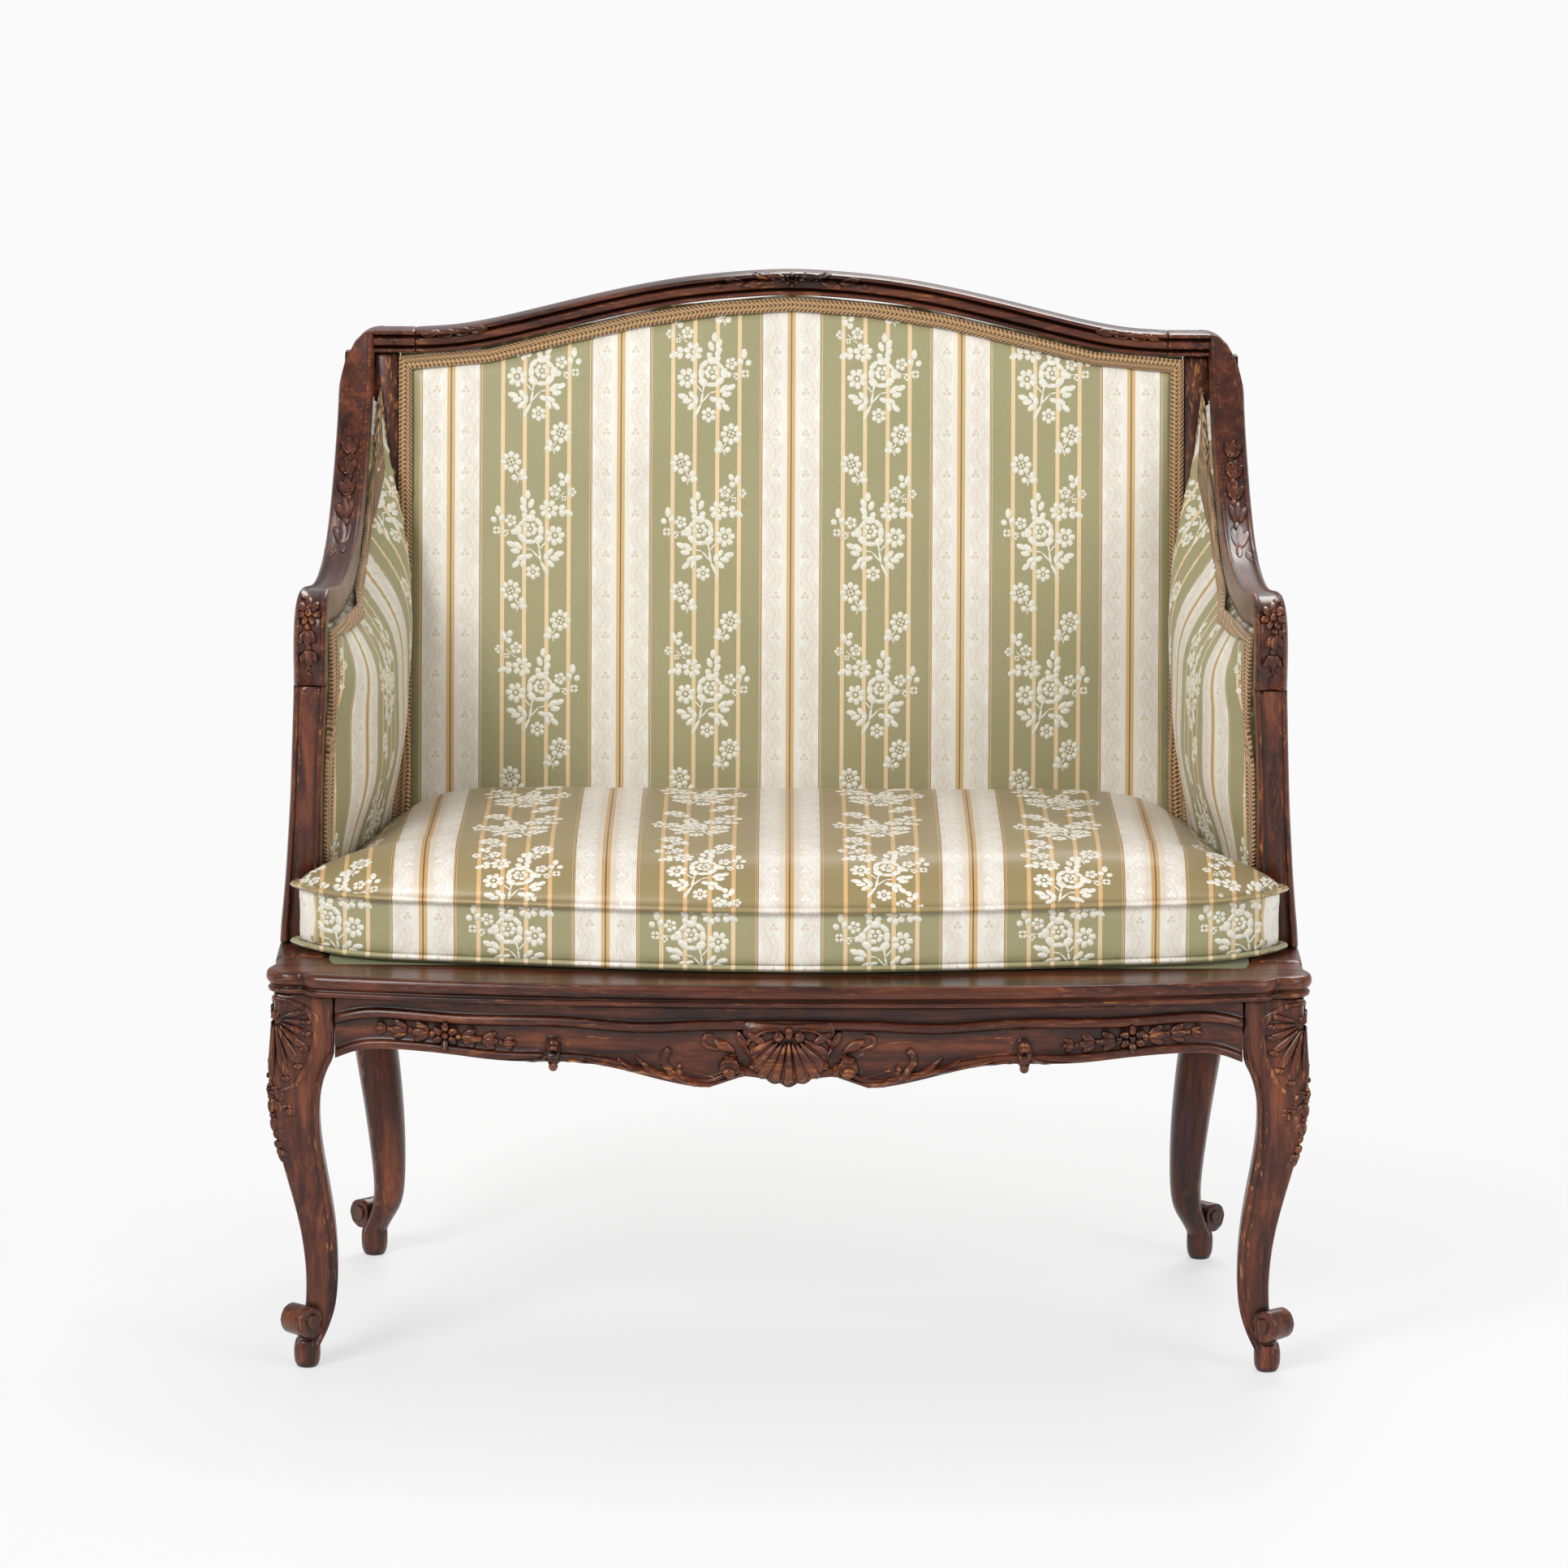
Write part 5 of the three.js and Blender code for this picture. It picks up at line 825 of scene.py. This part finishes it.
def finish_soft(name, data, material, body, fill, rule, *replaced):
    smooth_faces(data)
    lay_cloth(data, rule)
    piece = put(name, data, material, body, "striped_silk", *replaced)
    return piece


UP_STRETCH = 1.014  # how much closer the drawing's rows lie on the walls than on the seat
BAND_TOP = 0.4585  # the height at which the cushion's top begins


def weave_back(place, face):
    return (place.x * 1.0186, place.z * UP_STRETCH)


def weave_side(place, face):
    return (place.y + 0.070, place.z * UP_STRETCH)


def weave_side_pad(place, face):
    """As on the outside, but pulled forward at the foot, where the pad curves in."""
    return (place.y + 0.070 - 0.25 * max(0, 0.62 - place.z), place.z * UP_STRETCH)


def weave_cushion(place, face):
    """The top runs to the back, the sides go on round the corners, and the front's ends are drawn together."""
    if face.center.z > BAND_TOP:
        return (place.x, place.y - 0.8 * (0.503 - place.z))
    if abs(face.normal.x) > 0.72:
        return (copysign(0.47 + 0.6 * (place.y + 0.28), place.x), place.z)
    return (copysign(min(abs(place.x), 0.455 + 0.35 * (abs(place.x) - 0.455)), place.x), place.z)


def weave_flat(place, face):
    return (place.x, place.y)


braid_skins = {name: skin_tree(cad[name].data) for name in ("back_braid", "side_braid_right", "side_braid_left")}


def pressed(data, name, away):
    """Presses a pad down where its braid is sewn on; away is the direction out of the room."""
    for vertex in data.vertices:
        distance = braid_skins[name].find_nearest(vertex.co, 9 * MM)[3]
        if distance is not None and distance < 6 * MM:
            vertex.co += Vector(away) * (6 * MM - distance) * 0.75
    return data


def side_fuller(place, normal):
    """The stuffing stands fuller towards the top of a side than its plain form."""
    inward = -copysign(1, place.x)
    facing = max(0, normal.x * inward)
    low = min(1, max(0, (place.z - 0.60) / 0.16))
    high = min(1, max(0, (0.895 - place.z) / 0.03))
    return Vector((inward * 8 * MM * facing * low * high, 0, 0))


back_pad = finish_soft(
    "back_pad_silk", pressed(soft_body("back_pad", 6), "back_braid", (0, 1, 0)), SILK, "frame", 0.9, weave_back,
    "back_pad")
side_pads = {}
for side, out in (("right", 1), ("left", -1)):
    stuffed = pressed(soft_body(f"side_pad_{side}", 5, side_fuller), f"side_braid_{side}", (out, 0, 0))
    side_pads[side] = finish_soft(
        f"side_pad_{side}_silk", stuffed, SILK, "frame", 0.9, weave_side_pad, f"side_pad_{side}")
cushion = finish_soft(
    "seat_cushion_silk", soft_body("seat_cushion", 6), [SILK, SEAT_TOP_SHEEN_SILK], "cushion", 0.8, weave_cushion,
    "seat_cushion")
# the top's faces get the seat copy, with its painted sheen colours
for face in cushion.data.polygons:
    face.material_index = 1 if face.center.z > BAND_TOP else 0


# Cloth trims and covers

def ring_rule(name, axes, centre):
    """For a closed band round a panel: the distance across it and along it, from its own middle line."""
    data = cad[name].data
    bins = {}
    for vertex in data.vertices:
        a, b = vertex.co[axes[0]] - centre[0], vertex.co[axes[1]] - centre[1]
        bins.setdefault(round(atan2(b, a) * 72 / pi), []).append((a, b))
    middle = []
    for key in sorted(bins):
        spots = bins[key]
        reach = [hypot(*spot) for spot in spots]
        if max(reach) - min(reach) < 5 * MM:
            continue
        angle = sum(atan2(b, a) for a, b in spots) / len(spots)
        middle.append((angle, (max(reach) + min(reach)) / 2))
    run, total = [0], 0
    for (a0, r0), (a1, r1) in zip(middle, middle[1:]):
        total += hypot(r1 * cos(a1) - r0 * cos(a0), r1 * sin(a1) - r0 * sin(a0))
        run.append(total)

    def rule(place, face):
        a, b = place[axes[0]] - centre[0], place[axes[1]] - centre[1]
        ca, cb = face.center[axes[0]] - centre[0], face.center[axes[1]] - centre[1]
        angle, home = atan2(b, a), atan2(cb, ca)
        angle += TURN * round((home - angle) / TURN)
        k = 1
        while k < len(middle) - 1 and middle[k][0] < angle:
            k += 1
        (a0, r0), (a1, r1) = middle[k - 1], middle[k]
        share = (angle - a0) / max(1e-6, a1 - a0)
        share = min(1.5, max(-0.5, share))
        reach = r0 + (r1 - r0) * share
        slope = atan2(r1 - r0, (r0 + r1) / 2 * max(1e-6, a1 - a0))
        return ((hypot(a, b) - reach) * cos(slope), run[k - 1] + (run[k] - run[k - 1]) * share)
    return rule


def plain_finish(name, material, slot, rule, body="frame", fuller=0.0, shift=(0, 0, 0), lean=0.0):
    """A cloth piece as the CAD has it, with softened edges: fuller and shift are in millimetres, and lean turns a
    side's braid towards the front."""
    mesh = merged_copy(name)
    mesh.normal_update()
    for vertex in mesh.verts:
        vertex.co += vertex.normal * fuller * MM + Vector(shift) * MM
    data = applied(mesh, ("BEVEL", {"width": 0.4 * MM, "segments": 1, "limit_method": "ANGLE"}))
    smooth_faces(data, 40)
    lay_cloth(data, rule)
    if lean:
        across = {loop.vertex_index: uv.uv.x for loop, uv in zip(data.loops, data.uv_layers.active.data)}
        for vertex in data.vertices:
            free = min(1, max(0, vertex.co.z - 0.5) / (30 * MM))
            vertex.co.x -= copysign(lean * free * (5.5 * MM - across[vertex.index]), vertex.co.x)
    return put(name + "_cloth", data, material, body, slot, name)


for name, material in (("piping_top", SEAT_TOP_SHEEN_SILK), ("piping_bottom", SILK)):
    plain_finish(name, material, "striped_silk", weave_cushion, "cushion")
for name, step in (("back_braid", -1.2), ("back_outside_braid", 0.5)):
    rule = ring_rule(name, (0, 2), (0, 0.68))
    plain_finish(name, BRAID, "gold_braid", rule, fuller=1.0, shift=(0, step, 0))
covers = [plain_finish("back_cover", SILK, "striped_silk", weave_back)]
for side, out in (("right", 1), ("left", -1)):
    for name, step, lean in ((f"side_braid_{side}", -1.5, 0.3), (f"side_outside_braid_{side}", 0.4, 0)):
        rule = ring_rule(name, (1, 2), (0.06, 0.6))
        plain_finish(name, BRAID, "gold_braid", rule, fuller=1.0, shift=(out * step, -0.6, 0), lean=lean)
    covers.append(plain_finish(f"side_cover_{side}", SILK, "striped_silk", weave_side))
flats = {name: plain_finish(name, material, slot, weave_flat) for name, material, slot in (
    ("deck_cover", LINEN, "deck_linen"), ("deck_pad", LINEN, "deck_linen"), ("hessian", JUTE, "jute"),
    ("webbing", JUTE, "jute"), ("dust_cover", COTTON, "black_cotton"))}
for k in range(1, 7):
    recolour(f"seat_spring_{k}", STEEL)


# The woven flowers, drawn in thousandths of the stripe's repeat from the middle of the largest bloom

def cloth_surface(data, wanted):
    """The cloth laid flat: the place and the outward direction for a point in cloth coordinates."""
    layer = data.uv_layers["weave"]
    flat, places, normals, faces = [], [], [], []
    for face in data.polygons:
        if not wanted(face):
            continue
        ring = []
        for loop in face.loop_indices:
            vertex = data.vertices[data.loops[loop].vertex_index]
            ring.append(len(flat))
            flat.append(Vector((*layer.data[loop].uv, 0)))
            places.append(vertex.co.copy())
            normals.append(vertex.normal.copy())
        faces += [(ring[0], ring[k - 1], ring[k]) for k in range(2, len(ring))]
    tree = BVHTree.FromPolygons(flat, faces)

    def find(u, v):
        spot, _, index, _ = tree.ray_cast(Vector((u, v, 1)), Vector((0, 0, -1)))
        if spot is None:
            return None
        ring = faces[index]
        corners = [flat[k] for k in ring]
        spot.z = 0
        return (barycentric_transform(spot, *corners, *(places[k] for k in ring)),
                barycentric_transform(spot, *corners, *(normals[k] for k in ring)).normalized() * MM)
    return find


def part(x, y, turn, near, far, width, *shape):
    """A petal given in thousandths of the stripe's repeat."""
    return petal(x / 1000, y / 1000, turn, near / 1000, far / 1000, width / 1000, *shape)


def blossom(x, y, radius, petals, first=90, heart=True):
    x, y, radius = x / 1000, y / 1000, radius / 1000
    ring = [petal(x, y, first + 360 * k / petals, radius * 0.24, radius, radius * 2.05 / petals, 0.62, 0.14, 10)
            for k in range(petals)]
    return ring + ([petal(x, y, 0, -radius * 0.2, radius * 0.2, radius * 0.2, 1, 0, 7)] if heart else [])


def leaf(x, y, turn, length=56, width=14.5):
    x, y, length, width = x / 1000, y / 1000, length / 1000, width / 1000
    return petal(x, y, turn, -0.62 * length, 0.62 * length, width * 1.38, 1.1, 0, 8)


def stem(wide, narrow, *path):
    path = [(x / 1000, y / 1000) for x, y in path]
    wide, narrow = wide / 1000, narrow / 1000
    shapes = []
    for k, ((x0, y0), (x1, y1)) in enumerate(zip(path, path[1:])):
        width = wide + (narrow - wide) * k / max(1, len(path) - 2)
        turn, length = degrees(atan2(y1 - y0, x1 - x0)), hypot(x1 - x0, y1 - y0)
        shapes.append(petal(x0, y0, turn, -width, length + width, width, 0.6, 0, 8))
    return shapes


BOUQUET = [
    *[petal(0.032, 0.000, 90 + 45 * k, 0.046 + 0.005 * sin(2.1 * k), 0.088 + 0.009 * sin(2.3 * k + 1),
            0.033, 0.55, 0.12, 10) for k in range(8)],
    part(33, 6, 0, -11, 11, 11, 1, 0, 7),
    *[part(*spot, 0.6, 0.1, 9) for spot in [
        (22, 12, 200, 4, 36, 17), (28, 14, 130, 4, 34, 16), (40, 14, 60, 2, 32, 16), (44, 6, -10, 2, 30, 16),
        (36, -4, -75, 4, 36, 18), (24, 0, -130, 4, 34, 16)]],
    *[outline for spot in [
        (-114, -29, 62, 7, 20), (-78, 122, 60, 7, 65), (-112, 229, 38, 5, 90), (-213, 222, 28, 5, 40),
        (146, 55, 38, 5, 70), (14, -239, 46, 6, 90), (-166, 186, 17, 4, 45, False), (229, -2, 26, 4, 45, False),
        (178, -20, 20, 4, 0, False)] for outline in blossom(*spot)],
    *[leaf(*spot) for spot in [
        (27, 154, 110), (73, 167, 65), (18, 101, 140, 36), (71, 122, 55), (66, 85, 50, 36), (47, 206, 88, 50),
        (222, 112, 90), (247, 60, 50, 36), (199, 71, 110, 36), (-185, 300, 105), (-149, 314, 60, 40),
        (-155, 272, 45, 36), (-192, 103, 205), (-155, 133, 150, 40), (-155, 99, 240, 40), (130, -11, 250, 30),
        (105, -89, 40, 60, 15), (145, -80, 25, 55, 14), (120, -120, 10, 55, 14), (85, -157, -25, 55, 14),
        (115, -195, -42, 55, 14), (73, -189, -70, 50, 13), (43, -150, -20, 50, 13), (-137, -134, 165, 60, 15),
        (-112, -160, 190, 55, 14), (-87, -190, 222, 55, 14), (-85, -125, 125, 50, 13), (-62, -153, 95, 50, 13)]],
    *stem(11, 6, (-75, -262), (-32, -180), (-21, -111), (-14, -66)), *stem(5, 5, (-21, -111), (-62, -66)),
    *stem(6, 5, (-30, -170), (23, -112), (60, -105)), *stem(4, 4, (-110, 175), (-135, 190), (-174, 227)),
    *stem(4, 4, (112, 15), (150, -4), (190, 0), (210, 45), (215, 85)),
]
SPRIG = [
    *[part(0, 0, 90 + 45 * k, 22, 66, 18.5, 0.9, 0.05, 8) for k in range(8)],
    *[part(0, 0, 112 + 90 * k, 6, 22, 10, 0.8, 0, 7) for k in range(4)],
    *stem(5, 5, (-28, -50), (-50, -80), (-36, -125)),
    leaf(-67, -60, 110, 45), leaf(-75, -92, 170, 45), leaf(-20, -90, 40, 36),
]


def weave_flowers(name, data, wanted, spots, material=FLOWERS, body="frame"):
    """Lays the drawings on a cloth, 0.35 mm high: each spot is a drawing, the place of its middle in metres, and 1 or
    -1 for the side that it leans to."""
    find = cloth_surface(data, wanted)
    mesh = bmesh.new()
    for drawing, u, v, lean in spots:
        for outline in drawing:
            placed = [(u + lean * x * STRIPE, v + y * STRIPE) for x, y in outline]
            add_dome(mesh, find, placed, 0.35, 0.5, ((0.8, 0.85),))
    put(name, relief_mesh(mesh, name), material, body, "striped_silk")


def columns(low, high, rows):
    """The same rows of drawings in every green stripe between two cloth coordinates."""
    spots = []
    for k in range(floor(low / STRIPE) - 1, ceil(high / STRIPE) + 1):
        middle = (k + 0.5) * STRIPE
        if low - 0.3 * STRIPE < middle < high + 0.3 * STRIPE:
            spots += [(drawing, middle + lean * shift * STRIPE, v, lean) for drawing, v, lean, shift in rows]
    return spots


def with_sprigs(bouquets):
    """Bouquets, each given by its lean (1 or -1) and its height, with two sprigs below each."""
    rows = []
    for lean, v in bouquets:
        rows += [(BOUQUET, v, lean, 0.0), (SPRIG, v - 0.0608, lean, 0.147), (SPRIG, v - 0.0905, -lean, 0.147)]
    return rows


def wall_rows(first, count):
    """Bouquets 157 mm apart up a wall of cloth, leaning right and left by turns."""
    return with_sprigs([((1, -1)[k % 2], (first + 0.157 * k) * UP_STRETCH) for k in range(count)])


weave_flowers("back_pad_flowers", back_pad.data, lambda face: face.normal.y < -0.3,
              columns(-0.41, 0.41, wall_rows(0.5837, 4)))
weave_flowers("back_cover_flowers", covers[0].data, lambda face: face.normal.y > 0.3,
              columns(-0.41, 0.41, wall_rows(0.5837, 3)))
side_spots = columns(-0.1, 0.37, wall_rows(0.47, 3))
for side, cover in zip(("right", "left"), covers[1:]):
    inward = -1 if side == "right" else 1
    weave_flowers(
        f"side_pad_{side}_flowers", side_pads[side].data, lambda face: face.normal.x * inward > 0.25, side_spots)
    weave_flowers(f"side_cover_{side}_flowers", cover.data, lambda face: face.normal.x * inward < -0.3, side_spots)
weave_flowers("seat_cushion_band_flowers", cushion.data,
              lambda face: face.center.z <= BAND_TOP and face.normal.z > -0.6 and face.normal.y < 0.5,
              columns(-0.78, 0.78, [(BOUQUET, 0.431, -1, 0.0)]), body="cushion")
weave_flowers("seat_cushion_top_flowers", cushion.data, lambda face: face.center.z > BAND_TOP and face.normal.z > 0.05,
              columns(-0.47, 0.47, with_sprigs([(-1, -0.341), (1, -0.248), (-1, -0.109), (1, 0.048), (-1, 0.205)])),
              SEAT_FLOWERS, "cushion")

bpy.context.scene.view_settings.view_transform = "Standard"
